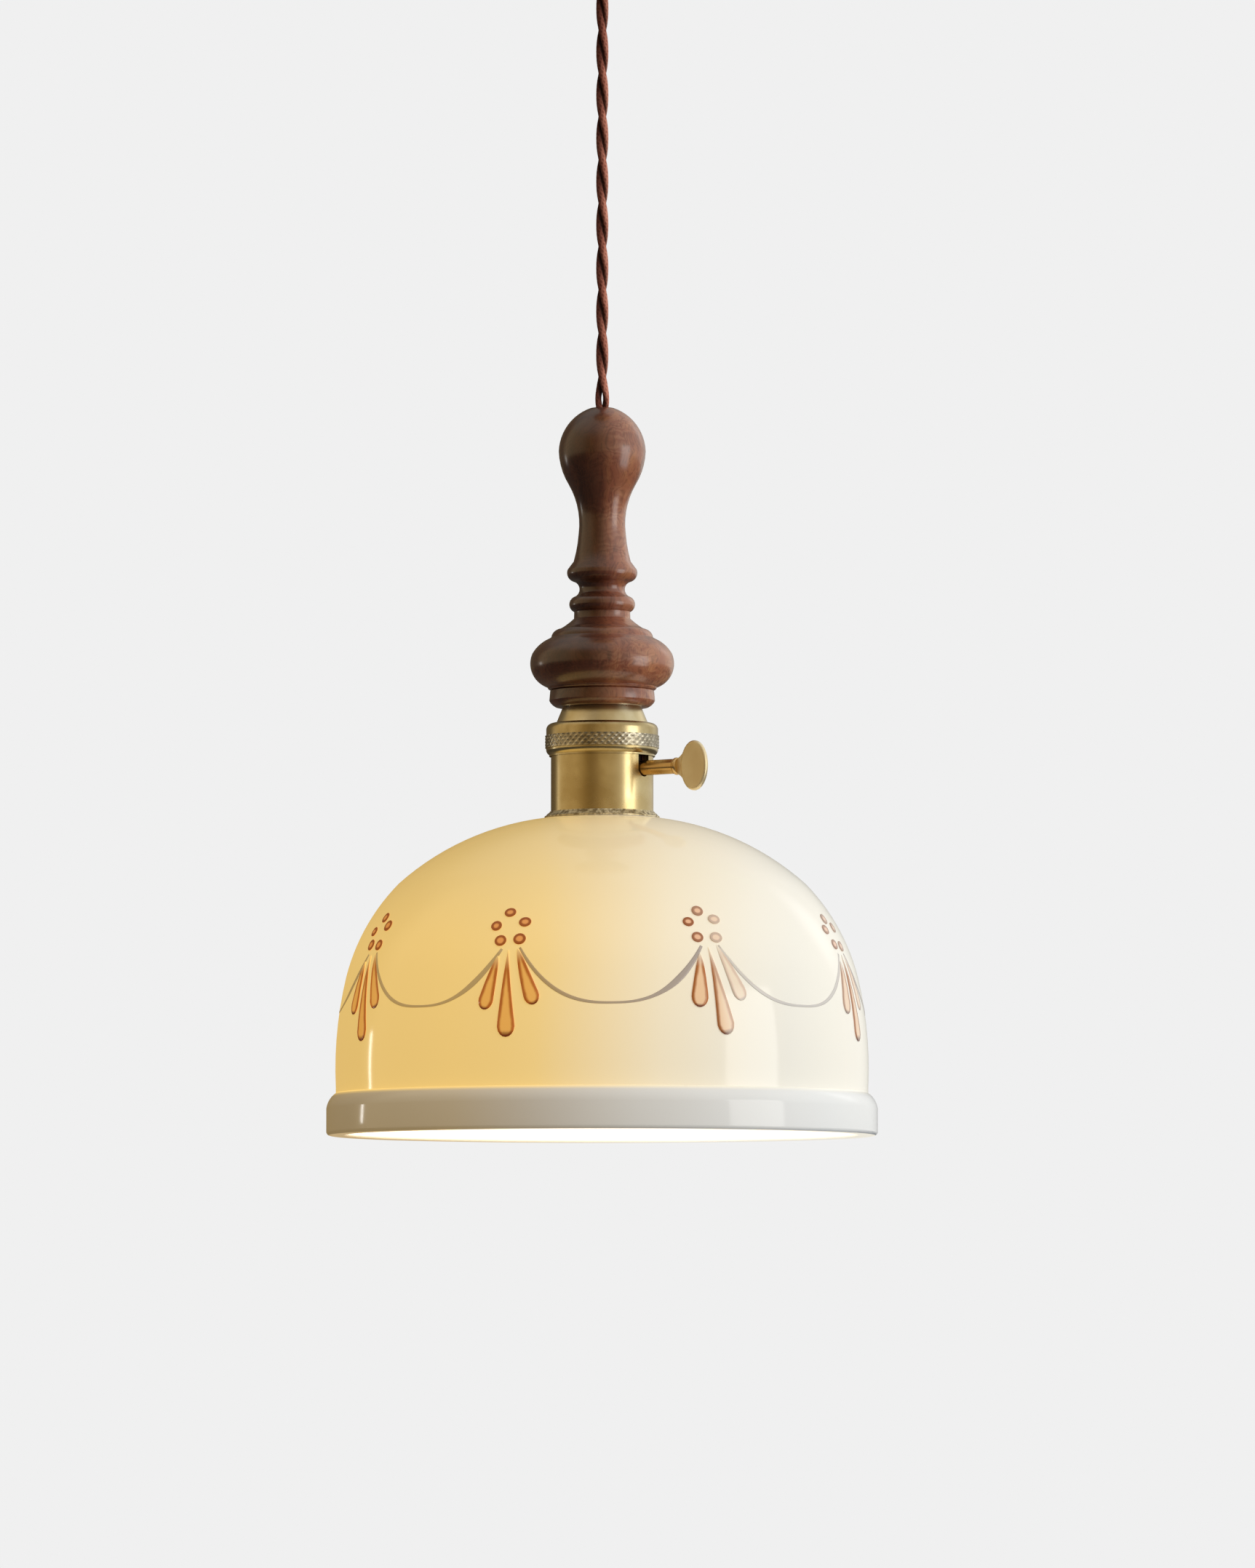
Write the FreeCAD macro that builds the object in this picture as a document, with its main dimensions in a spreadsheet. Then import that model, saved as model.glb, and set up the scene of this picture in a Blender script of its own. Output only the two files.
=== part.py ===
import FreeCAD, Part
import math
import os
import re
import Sketcher

# Ceramic pendant light: a turned wooden handle hangs from a ceiling cup on a twisted cord and carries
# a brass lamp holder with a turn key, a glazed ceramic bell shade and its bulb.
# Millimetres. The origin is the middle of the ceiling plane, +Z is up, and the lamp hangs below it.
# The key points to +X, turned by key_angle towards -Y.

SIZES = {
    # ceiling cup and the strap that it is screwed to
    "cup_radius": 55.0, "cup_depth": 26.0, "cup_wall": 1.2, "cup_corner": 6.0,
    "strap_width": 16.0, "strap_thick": 1.5, "ear_drop": 13.0, "ear_gap": 0.3,
    "slot_spacing": 66.0, "slot_length": 12.0, "slot_radius": 2.2, "wire_hole_radius": 5.0,
    "side_screw_drop": 8.0, "side_screw_radius": 1.6, "side_screw_length": 7.0,
    "side_head_radius": 3.4, "side_head_thick": 2.2, "driver_slot_width": 0.8, "driver_slot_depth": 0.9,
    "screw_clearance": 0.1, "hole_clearance": 0.2,
    # cord grip in the cup, its nut and its grub screw
    "grip_radius": 8.5, "grip_drop": 16.0, "grip_thread_radius": 5.0, "grip_thread_length": 9.0,
    "grip_edge": 1.0, "grip_mouth_radius": 6.8, "grip_mouth_depth": 7.0,
    "nut_flats": 14.0, "nut_thick": 4.0, "grub_radius": 1.5, "grub_height": 11.5,
    # wiring inside the cup
    "block_length": 17.0, "block_width": 14.0, "block_height": 11.0, "block_edge": 1.0,
    "block_screw_radius": 2.0, "block_screw_depth": 4.0, "block_screw_pitch": 7.0,
    "tail_bend": 8.0,
    # cord
    "cord_radius": 2.75, "cord_clearance": 0.65, "cord_end_gap": 0.3, "cord_free": 174.0,
    # turned handle, its threaded insert and the nipple that joins it to the lamp holder
    "handle_height": 121.0, "handle_radius": 29.0, "handle_mouth_radius": 4.7, "handle_mouth_depth": 5.0,
    "insert_radius": 7.0, "insert_length": 12.0, "insert_waist": 0.9, "insert_clearance": 0.05,
    "nipple_radius": 5.0, "nipple_wall": 1.7, "thread_clearance": 0.05,
    # lamp holder cap and the knurled ring over it
    "cap_height": 9.0, "cap_top_radius": 15.8, "cap_foot_radius": 18.9, "cap_wall": 0.9,
    "cap_flange_radius": 20.5, "cap_flange_thick": 1.4, "cap_boss_radius": 7.5, "cap_boss_length": 7.5,
    "ring_radius": 23.0, "ring_height": 13.4, "ring_lip": 0.9, "ring_bore_gap": 0.3,
    "ring_shoulder": 2.4, "knurl_drop": 5.0, "knurl_height": 5.0, "knurl_step": 0.5,
    "ring_foot_radius": 21.3, "ring_foot_height": 0.7,
    # lamp holder shell with its key notch and its thread for the shade ring
    "shell_radius": 20.6, "shell_bore_radius": 18.6, "shell_length": 33.3,
    "thread_radius": 20.0, "thread_length": 22.7, "shell_lip": 2.0, "shell_lip_radius": 14.8,
    "notch_width": 7.0, "stem_drop": 16.4, "seat_gap": 0.3,
    # insulating liner, switch body and contacts
    "liner_wall": 0.9, "liner_head": 1.5, "body_head": 4.0, "body_top_thick": 22.0,
    "body_cup_radius": 14.2, "body_edge": 1.0,
    "binding_offset": 9.5, "binding_head_radius": 2.8, "binding_head_thick": 1.7,
    "binding_radius": 1.5, "binding_depth": 5.0,
    "screw_shell_wall": 0.5, "screw_shell_length": 22.0, "screw_shell_flange": 4.0,
    "tongue_width": 6.0, "tongue_thick": 0.6, "tongue_length": 9.0, "tongue_drop": 3.0,
    # turn key
    "key_angle": 35.0, "stem_radius": 3.0, "stem_root": 8.0, "stem_tip": 35.6, "stem_clearance": 0.1,
    "hub_radius": 3.5, "hub_length": 1.8, "key_reach": 45.0, "key_half_width": 6.2,
    "key_half_height": 10.0, "key_thick": 2.4, "key_round": 0.9, "key_neck_thick": 1.8,
    # ring on top of the shade, silicone washers and the ring under the shade
    "top_ring_height": 2.5, "top_ring_radius": 23.2, "top_ring_neck_radius": 21.0, "ring_thread_gap": 0.3,
    "washer_thick": 0.5, "under_washer_thick": 1.0, "washer_radius": 22.8,
    "under_ring_radius": 28.0, "under_ring_flange": 2.4, "under_ring_length": 10.0,
    "under_ring_wall": 2.2, "under_ring_edge": 0.8, "grip_flutes": 12.0, "flute_radius": 1.6,
    # shade
    "shade_radius": 106.7, "shade_height": 127.2, "shade_wall": 4.2, "shade_neck_thick": 5.0,
    "shade_hole_radius": 20.8, "shade_land": 4.2, "shade_seat": 1.5,
    "band_step": 3.8, "band_height": 17.0, "band_round": 6.2, "rim_round": 1.6,
    # bulb
    "bulb_gap": 0.3, "bulb_cap_radius": 13.0, "bulb_cap_wall": 0.5, "bulb_cap_length": 21.0,
    "bulb_base_radius": 9.0, "bulb_base_height": 3.4, "bulb_tip_radius": 4.4, "bulb_tip_height": 1.0,
    "bulb_radius": 30.0, "bulb_length": 80.0, "bulb_neck_radius": 14.0, "glass_thick": 1.0,
    "glass_seat_gap": 0.2, "collar_length": 5.0, "mount_radius": 2.2, "mount_length": 40.0,
    "mount_flare": 20.0, "filament_radius": 0.9, "filament_length": 24.0, "filament_count": 4.0,
    "cut_overrun": 5.0,
}

# Share of a quarter round's radius that its middle stands in from the corner.
CORNER_SHARE = 1 - math.sqrt(0.5)

# Outline of the handle from its foot up, as shares of handle_radius and handle_height. A row of four
# reaches its point by an arc through the second pair.
HANDLE_SHARES = [
    (0.647, 0.0000),                       # foot
    (0.734, 0.0205, 0.709, 0.0115),        # base ring, rounded under
    (0.730, 0.0540),
    (0.721, 0.0575),                       # groove over the base ring
    (0.759, 0.0660, 0.750, 0.0605),        # thin bead
    (0.970, 0.1777, 0.911, 0.0895),        # bulge, lower half
    (0.745, 0.2262, 0.933, 0.1910),        # bulge, upper half
    (0.707, 0.2317),                       # step
    (0.589, 0.2593, 0.685, 0.2462),        # shoulder bead
    (0.392, 0.2946, 0.444, 0.2835),        # flare to the lower ring
    (0.389, 0.3176),
    (0.397, 0.3666, 0.457, 0.3431),        # lower ring
    (0.397, 0.4195, 0.316, 0.3917),        # cove
    (0.479, 0.4594, 0.487, 0.4436),        # upper ring
    (0.397, 0.4859),                       # its slope up to the neck
    (0.328, 0.5794, 0.365, 0.5169),        # flare to the neck
    (0.467, 0.7446, 0.354, 0.6778),        # neck to the ball
    (0.605, 0.8553, 0.550, 0.7863),        # ball, lower half
]
BALL_TOP_SHARES = (0.501, 0.9358)          # middle of the ball's upper arc

# Outline of the shade's dome from its flat land down, as shares of shade_radius and shade_height.
DOME_SHARES = [
    (0.767, 0.793, 0.540, 0.922),
    (0.962, 0.500, 0.883, 0.664),
    (1.000, 0.151, 0.990, 0.371),
]

# Middle of the band's soft shoulder, in from its face and down from its top, as shares of band_step
# and band_round.
SHOULDER_SHARES = (0.33, 0.43)

# Middle of a quarter of an oval, as a share of its half width and half height.
OVAL_SHARE = math.sqrt(0.5)

# The key's neck, as shares of the oval's half width and half height from its middle.
NECK_END_SHARES = (0.560, 0.720)       # where the neck's hollow side ends inside the oval
NECK_TURN_SHARES = (0.960, 0.420)      # middle of the hollow side

# Outline of the bulb's glass from its round end up, as shares of bulb_radius and bulb_length.
BULB_SHARES = [
    (1.000, 0.375, 0.707, 0.110),      # round end
    (0.620, 0.775, 0.902, 0.587),      # side
]
NECK_TOP_SHARE = 0.929                 # where the bulb's hollow neck turns straight
NECK_BEND_SHARES = (0.511, 0.848)

# Where the terminal block's screws stand along it, as shares of block_length.
BLOCK_SCREW_SHARES = (0.27, 0.73)

# Where the insert's waist begins, reaches its depth, leaves it and ends, as shares of insert_length.
WAIST_SHARES = (0.25, 0.33, 0.67, 0.75)

# Reach of the bent contact's parts to either side of its middle, as shares of tongue_length.
TONGUE_PLATE_SHARE = 0.50
TONGUE_FOOT_SHARE = 0.33
SLOPE_TOP_SHARE = 0.25
SLOPE_FOOT_SHARE = 0.17

# Places along the lamp, as distances below the ceiling.
GRIP_MOUTH = "(cup_depth + grip_drop)"
HANDLE_TOP = f"({GRIP_MOUTH} + cord_free)"
HANDLE_BASE = f"({HANDLE_TOP} + handle_height)"
SHELL_TOP = f"({HANDLE_BASE} + cap_height)"
SHELL_STEP = f"({SHELL_TOP} + shell_length)"
SHELL_END = f"({SHELL_STEP} + thread_length)"
SHADE_TOP = f"({SHELL_STEP} + top_ring_height + washer_thick)"
SHADE_END = f"({SHADE_TOP} + shade_height)"
SHADE_SEAT = f"({SHADE_TOP} + shade_neck_thick)"
BODY_TOP = f"({SHELL_TOP} + body_head)"
BODY_CEILING = f"({BODY_TOP} + body_top_thick)"
BODY_END = f"({SHELL_END} - shell_lip)"
STEM_LINE = f"({SHELL_TOP} + stem_drop)"
BULB_TIP = f"({BODY_CEILING} + tongue_thick + tongue_drop + bulb_gap)"
CAP_TOP = f"({BULB_TIP} + bulb_tip_height + bulb_base_height)"
GLASS_TOP = f"({CAP_TOP} + bulb_cap_length)"
CORD_BORE = "(cord_radius + cord_clearance)"
BAND_RADIUS = "(shade_radius + band_step)"

doc = FreeCAD.newDocument("ceramic_pendant")
sheet = doc.addObject("Spreadsheet::Sheet", "Sizes")
for row, (alias, size) in enumerate(SIZES.items(), 1):
    sheet.set(f"A{row}", alias)
    sheet.set(f"B{row}", str(size))
    sheet.setAlias(f"B{row}", alias)
doc.recompute()

nodes = []


def on_sheet(rule):
    """A rule such as "cup_depth + grip_drop" with each size named as a cell of the sheet."""
    return re.sub(r"[a-z]+(?:_[a-z]+)+", lambda size: "Sizes." + size.group(), rule)


def value(rule):
    """What a rule gives with the sheet's present sizes, in millimetres or degrees."""
    return float(sheet.evalExpression(on_sheet(rule)))


def middle_of_corner(edge, corner):
    """Where the middle of a quarter round lies: in from an edge by a share of the corner's radius."""
    return f"({edge} - {corner} * {CORNER_SHARE})"


def dome(radius, height):
    """How far out and up from a round dome's foot a point on it lies, half way out to its edge."""
    ball = f"(({radius} ^ 2 + {height} ^ 2) / (2 * {height}))"
    return f"{radius} / 2", f"(sqrt({ball} ^ 2 - ({radius} / 2) ^ 2) - {ball} + {height})"


# Bodies and sketches

def new_body(label, below_ceiling):
    """An empty body whose own origin lies on the lamp's axis, a distance below the ceiling."""
    body = doc.addObject("PartDesign::Body", label)
    body.setExpression("Placement.Base.z", on_sheet(f"-({below_ceiling})"))
    nodes.append(body)
    return body


def turn_to_key(body):
    """Turns a body about the lamp's axis, so that its own +X lies along the key's stem."""
    body.Placement.Rotation = FreeCAD.Rotation(FreeCAD.Vector(0, 0, 1), -value("key_angle"))


def new_sketch(body, role, name):
    """An empty sketch on one of the body's own origin planes."""
    sketch = body.newObject("Sketcher::SketchObject", f"{body.Name}_{name}")
    plane = next(item for item in body.Origin.OriginFeatures if item.Role == role)
    sketch.AttachmentSupport = [(plane, "")]
    sketch.MapMode = "FlatFace"
    return sketch


def raise_sketch(sketch, rule):
    """Lifts a sketch off its plane, along the plane's normal."""
    sketch.setExpression("AttachmentOffset.Base.z", on_sheet(rule))


def bind(sketch, kind, *places, rule):
    """Adds a dimension to a sketch, driven by a rule."""
    index = sketch.addConstraint(Sketcher.Constraint(kind, *places, value(rule)))
    sketch.setExpression(f"Constraints[{index}]", on_sheet(rule))


def pin(sketch, edge, end, across, up):
    """Pins a point of a sketch to its place, by its distances from the sketch's origin."""
    for kind, axis, rule in (("DistanceX", -2, across), ("DistanceY", -1, up)):
        if rule == "0":
            sketch.addConstraint(Sketcher.Constraint("PointOnObject", edge, end, axis))
        else:
            bind(sketch, kind, -1, 1, edge, end, rule=rule)


def point(across, up):
    return FreeCAD.Vector(value(across), value(up), 0)


def outline(sketch, corners):
    """A closed outline through corners. A corner is a pair of rules for its place across and up.
    A corner of four rules is reached by an arc, through the point that the last two give."""
    first = sketch.GeometryCount
    count = len(corners)
    finish = []
    for index, corner in enumerate(corners):
        start = point(*corners[index - 1][:2])
        end = point(*corner[:2])
        if len(corner) == 2:
            sketch.addGeometry(Part.LineSegment(start, end), False)
            finish.append((1, 2))
        else:
            through = point(*corner[2:])
            turns_left = (through - start).cross(end - through).z > 0
            ends = (start, through, end) if turns_left else (end, through, start)
            sketch.addGeometry(Part.ArcOfCircle(*ends), False)
            finish.append((1, 2) if turns_left else (2, 1))
    for index, corner in enumerate(corners):
        after = (index + 1) % count
        sketch.addConstraint(Sketcher.Constraint(
            "Coincident", first + index, finish[index][1], first + after, finish[after][0]))
        pin(sketch, first + index, finish[index][1], *corner[:2])
    for index, corner in enumerate(corners):
        if len(corner) == 4:
            through = sketch.addGeometry(Part.Point(point(*corner[2:])), True)
            pin(sketch, through, 1, *corner[2:])
            sketch.addConstraint(Sketcher.Constraint("PointOnObject", through, 1, first + index))


def backwards(corners):
    """The same corners and arcs from the last to the first."""
    after = corners[1:] + [()]
    return [corner[:2] + following[2:] for corner, following in zip(corners[::-1], after[::-1])]


def circle(sketch, across, up, radius):
    """A circle about a place across and up."""
    edge = sketch.addGeometry(Part.Circle(point(across, up), FreeCAD.Vector(0, 0, 1), value(radius)), False)
    pin(sketch, edge, 3, across, up)
    bind(sketch, "Radius", edge, rule=radius)


def block(low_across, low_up, high_across, high_up):
    """Corners of a rectangle."""
    return [(low_across, low_up), (high_across, low_up), (high_across, high_up), (low_across, high_up)]


# Features

def revolve(body, sketch, axis="V_Axis"):
    """Turns a sketch once round one of its own axes."""
    feature = body.newObject("PartDesign::Revolution", f"{sketch.Name}_turned")
    feature.Profile = sketch
    feature.ReferenceAxis = (sketch, [axis])
    feature.Angle = 360
    return feature


def turned(label, below_ceiling, corners):
    """A lathe-turned piece from the outline of its half section, up from its lowest point."""
    body = new_body(label, below_ceiling)
    sketch = new_sketch(body, "XZ_Plane", "section")
    outline(sketch, corners)
    revolve(body, sketch)
    return body


def pad(body, sketch, length, both_ways=False, reversed_way=False):
    feature = body.newObject("PartDesign::Pad", f"{sketch.Name}_pad")
    feature.Profile = sketch
    feature.setExpression("Length", on_sheet(length))
    feature.Midplane = both_ways
    feature.Reversed = reversed_way
    return feature


def pocket(body, sketch, length, both_ways=False, reversed_way=False):
    """Cuts a sketch into the body, and makes sure that it takes something away."""
    doc.recompute()
    before = body.Shape.Volume
    feature = body.newObject("PartDesign::Pocket", f"{sketch.Name}_pocket")
    feature.Profile = sketch
    feature.setExpression("Length", on_sheet(length))
    feature.Midplane = both_ways
    feature.Reversed = reversed_way
    doc.recompute()
    if not body.Shape.Volume < before:
        raise ValueError(f"{feature.Name} cuts nothing")
    return feature


def round_edges(body, radius, edges):
    """Rounds those edges of the body that a test picks."""
    doc.recompute()
    base = body.Tip
    picked = [f"Edge{number}" for number, edge in enumerate(base.Shape.Edges, 1) if edges(edge)]
    feature = body.newObject("PartDesign::Fillet", f"{body.Name}_rounding")
    feature.Base = (base, picked)
    feature.setExpression("Radius", on_sheet(radius))
    return feature


def centre_of(edge):
    return edge.BoundBox.Center


def group(label, members):
    """Several like solids in one piece of the list."""
    compound = doc.addObject("Part::Compound", label)
    compound.Links = members
    nodes.append(compound)
    return compound


# Ceiling cup, strap and cord grip

def ceiling_strap():
    """A steel strap across the cup, with two slots for the ceiling screws and an ear at each end."""
    body = new_body("ceiling_strap", "ear_drop")
    half = "(sqrt((cup_radius - cup_wall) ^ 2 - (strap_width / 2) ^ 2) - ear_gap)"
    profile = new_sketch(body, "XZ_Plane", "profile")
    outline(profile, [
        (f"-{half}", "0"),
        (f"-{half} + strap_thick", "0"),
        (f"-{half} + strap_thick", "ear_drop - strap_thick"),
        (f"{half} - strap_thick", "ear_drop - strap_thick"),
        (f"{half} - strap_thick", "0"),
        (half, "0"),
        (half, "ear_drop"),
        (f"-{half}", "ear_drop"),
    ])
    pad(body, profile, "strap_width", both_ways=True)
    holes = new_sketch(body, "XY_Plane", "slots")
    circle(holes, "0", "0", "wire_hole_radius")
    for side in ("-1", "1"):
        near = f"{side} * (slot_spacing / 2 - slot_length / 2 + slot_radius)"
        far = f"{side} * (slot_spacing / 2 + slot_length / 2 - slot_radius)"
        outline(holes, [
            (far, "-slot_radius"),
            (far, "slot_radius", f"{far} + {side} * slot_radius", "0"),
            (near, "slot_radius"),
            (near, "-slot_radius", f"{near} - {side} * slot_radius", "0"),
        ])
    pocket(body, holes, "ear_drop + cut_overrun", reversed_way=True)
    ears = new_sketch(body, "YZ_Plane", "ear_holes")
    circle(ears, "0", "ear_drop - side_screw_drop", "side_screw_radius + screw_clearance")
    pocket(body, ears, "2 * cup_radius", both_ways=True)


def ceiling_cup():
    """The spun brass cup that hides the wiring, with a hole for the grip and two for its screws."""
    hole = "(grip_thread_radius + hole_clearance)"
    inner = "(cup_corner - cup_wall)"
    body = turned("ceiling_cup", "cup_depth", [
        (hole, "0"),
        ("cup_radius - cup_corner", "0"),
        ("cup_radius", "cup_corner",
         middle_of_corner("cup_radius", "cup_corner"), f"cup_corner * {CORNER_SHARE}"),
        ("cup_radius", "cup_depth"),
        ("cup_radius - cup_wall", "cup_depth"),
        ("cup_radius - cup_wall", "cup_corner"),
        ("cup_radius - cup_corner", "cup_wall",
         middle_of_corner("cup_radius - cup_wall", inner), f"cup_wall + {inner} * {CORNER_SHARE}"),
        (hole, "cup_wall"),
    ])
    holes = new_sketch(body, "YZ_Plane", "screw_holes")
    circle(holes, "0", "cup_depth - side_screw_drop", "side_screw_radius + screw_clearance")
    pocket(body, holes, "2 * cup_radius + cut_overrun", both_ways=True)


def side_screw(label, turn):
    """A round-headed screw along +X through the cup's wall into an ear, turned about the lamp's axis."""
    body = doc.addObject("PartDesign::Body", label)
    section = new_sketch(body, "XZ_Plane", "section")
    seat = "cup_radius"
    tip = f"{seat} - side_screw_length"
    out, up = dome("side_head_radius", "side_head_thick")
    outline(section, [
        (tip, "0"),
        (f"{seat} + side_head_thick", "0"),
        (seat, "side_head_radius", f"{seat} + {up}", out),
        (seat, "side_screw_radius"),
        (tip, "side_screw_radius"),
    ])
    revolve(body, section, "H_Axis")
    slot = new_sketch(body, "XZ_Plane", "driver_slot")
    outline(slot, block(f"{seat} + side_head_thick - driver_slot_depth", "-driver_slot_width / 2",
                        f"{seat} + side_head_thick + cut_overrun", "driver_slot_width / 2"))
    pocket(body, slot, "2 * side_head_radius + cut_overrun", both_ways=True)
    body.Placement.Rotation = FreeCAD.Rotation(FreeCAD.Vector(0, 0, 1), turn)
    body.setExpression("Placement.Base.z", on_sheet("-side_screw_drop"))
    return body


def cord_grip():
    """The brass grip under the cup: a threaded neck, a bored body and a flared mouth for the cord."""
    height = "(grip_drop + cup_wall + grip_thread_length)"
    body = turned("cord_grip", GRIP_MOUTH, [
        ("grip_mouth_radius", "0"),
        ("grip_radius - grip_edge", "0"),
        ("grip_radius", "grip_edge",
         middle_of_corner("grip_radius", "grip_edge"), f"grip_edge * {CORNER_SHARE}"),
        ("grip_radius", "grip_drop"),
        ("grip_thread_radius", "grip_drop"),
        ("grip_thread_radius", height),
        (CORD_BORE, height),
        (CORD_BORE, "grip_mouth_depth"),
    ])
    tapping = new_sketch(body, "YZ_Plane", "grub_hole")
    circle(tapping, "0", "grub_height", "grub_radius + screw_clearance")
    pocket(body, tapping, "grip_radius + cut_overrun", reversed_way=True)


def hexagon(sketch, flats):
    """A hexagon of a width across flats, round the sketch's origin."""
    reach = f"({flats} / {2 * math.cos(math.pi / 6)})"
    outline(sketch, [(f"{reach} * {round(math.cos(turn * math.pi / 3), 6)}",
                      f"{reach} * {round(math.sin(turn * math.pi / 3), 6)}" if turn % 3 else "0")
                     for turn in range(6)])


def grip_nut():
    """The thin hexagon nut that holds the grip, on the cup's floor."""
    body = new_body("grip_nut", "cup_depth - cup_wall")
    plan = new_sketch(body, "XY_Plane", "plan")
    hexagon(plan, "nut_flats")
    circle(plan, "0", "0", "grip_thread_radius + thread_clearance")
    pad(body, plan, "nut_thick")


def grip_grub_screw():
    """The grub screw in the grip's side that pinches the cord."""
    body = new_body("grip_grub_screw", f"{GRIP_MOUTH} - grub_height")
    section = new_sketch(body, "XZ_Plane", "section")
    outer = "grip_radius - driver_slot_depth"
    inner = "cord_radius + cord_end_gap"
    outline(section, [(inner, "0"), (outer, "0"), (outer, "grub_radius"), (inner, "grub_radius")])
    revolve(body, section, "H_Axis")


def terminal_block():
    """The two-way terminal block under the strap, with a screw bore over each wire."""
    body = new_body("terminal_block", "strap_thick + block_height")
    plan = new_sketch(body, "XY_Plane", "plan")
    outline(plan, block("-tail_bend - block_length", "-block_width / 2", "-tail_bend", "block_width / 2"))
    pad(body, plan, "block_height")
    bores = new_sketch(body, "XY_Plane", "bores")
    for share in BLOCK_SCREW_SHARES:
        for side in ("-1", "1"):
            circle(bores, f"-tail_bend - block_length * {share}", f"{side} * block_screw_pitch / 2",
                   "block_screw_radius + screw_clearance")
    pocket(body, bores, "block_screw_depth", reversed_way=True)
    round_edges(body, "block_edge", lambda edge: edge.BoundBox.ZLength > value("block_height - block_edge"))


def terminal_screws():
    """Four slotted clamp screws in the terminal block."""
    members = []
    for number, share in enumerate(BLOCK_SCREW_SHARES):
        for side, sign in (("front", "-1"), ("back", "1")):
            screw = doc.addObject("Part::Cylinder", f"terminal_screw_{side}_{number}")
            screw.setExpression("Radius", on_sheet("block_screw_radius"))
            screw.setExpression("Height", on_sheet("block_screw_depth - driver_slot_depth"))
            screw.setExpression("Placement.Base.x", on_sheet(f"-tail_bend - block_length * {share}"))
            screw.setExpression("Placement.Base.y", on_sheet(f"{sign} * block_screw_pitch / 2"))
            screw.setExpression("Placement.Base.z",
                                on_sheet("-(strap_thick + block_height) + driver_slot_depth"))
            members.append(screw)
    group("terminal_screws", members)


def cup_cord():
    """The cord's fixed end inside the cup: up out of the grip, and round to the terminal block."""
    start = f"({GRIP_MOUTH} - grip_mouth_depth - cord_radius - cord_end_gap)"
    level = "(strap_thick + block_height / 2)"
    body = new_body("cup_cord", start)
    path = new_sketch(body, "XZ_Plane", "path")
    rise = f"({start} - {level} - tail_bend)"
    path.addGeometry(Part.LineSegment(point("0", "0"), point("0", rise)), False)
    middle = point(f"-tail_bend * {CORNER_SHARE}", f"{rise} + tail_bend * {OVAL_SHARE}")
    end = point("-tail_bend", f"{rise} + tail_bend")
    path.addGeometry(Part.ArcOfCircle(point("0", rise), middle, end), False)
    path.addConstraint(Sketcher.Constraint("Coincident", 0, 1, -1, 1))
    path.addConstraint(Sketcher.Constraint("Tangent", 0, 2, 1, 1))
    pin(path, 0, 2, "0", rise)
    pin(path, 1, 2, "-tail_bend", f"{rise} + tail_bend")
    ring = new_sketch(body, "XY_Plane", "ring")
    circle(ring, "0", "0", "cord_radius")
    pipe = body.newObject("PartDesign::AdditivePipe", "cup_cord_pipe")
    pipe.Profile = ring
    pipe.Spine = path


# The hanging cord

def pendant_cord():
    """The cord between the grip and the handle: a straight tube with a round end in each mouth."""
    length = "(grip_mouth_depth + cord_free + handle_mouth_depth)"
    out, up = dome("cord_radius", "cord_radius")
    turned("pendant_cord", f"{HANDLE_TOP} + handle_mouth_depth", [
        ("0", "-cord_radius"),
        ("cord_radius", "0", out, f"-{up}"),
        ("cord_radius", length),
        ("0", f"{length} + cord_radius", out, f"{length} + {up}"),
    ])


# Handle

def share_of(shares, radius, height):
    """Rules for the place that a pair, or a row of two pairs, of shares gives."""
    return tuple(f"{(radius, height)[place % 2]} * {share}" if share else "0"
                 for place, share in enumerate(shares))


def wood_handle():
    """The turned handle, bored for the cord and counterbored from below for its threaded insert."""
    corners = [share_of(shares, "handle_radius", "handle_height") for shares in HANDLE_SHARES]
    corners.append(("handle_mouth_radius", "handle_height",
                    *share_of(BALL_TOP_SHARES, "handle_radius", "handle_height")))
    socket = "insert_radius + insert_clearance"
    turned("wood_handle", HANDLE_BASE, corners + [
        (CORD_BORE, "handle_height - handle_mouth_depth"),
        (CORD_BORE, "insert_length + insert_clearance"),
        (socket, "insert_length + insert_clearance"),
        (socket, "0"),
    ])


def threaded_insert():
    """The brass insert in the handle's foot, with a shallow waist that the glue holds."""
    bore = "nipple_radius + thread_clearance"
    low, low_waist, high_waist, high = (f"insert_length * {share}" for share in WAIST_SHARES)
    turned("threaded_insert", HANDLE_BASE, [
        (bore, "0"),
        ("insert_radius", "0"),
        ("insert_radius", low),
        ("insert_radius - insert_waist", low_waist),
        ("insert_radius - insert_waist", high_waist),
        ("insert_radius", high),
        ("insert_radius", "insert_length"),
        (bore, "insert_length"),
    ])


def threaded_nipple():
    """The threaded tube that screws the lamp holder's cap to the handle and lets the cord through."""
    length = "(insert_length + cap_boss_length)"
    turned("threaded_nipple", f"{HANDLE_BASE} + cap_boss_length", [
        ("nipple_radius - nipple_wall", "0"),
        ("nipple_radius", "0"),
        ("nipple_radius", length),
        ("nipple_radius - nipple_wall", length),
    ])


def handle_cord():
    """The cord's end inside the handle, from under the hanging cord to the top of the switch body."""
    top = f"({HANDLE_TOP} + handle_mouth_depth + cord_radius + cord_end_gap)"
    cord = doc.addObject("Part::Cylinder", "handle_cord")
    cord.setExpression("Radius", on_sheet("cord_radius"))
    cord.setExpression("Height", on_sheet(f"{BODY_TOP} - {top}"))
    cord.setExpression("Placement.Base.z", on_sheet(f"-{BODY_TOP}"))
    nodes.append(cord)


# Lamp holder

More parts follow.
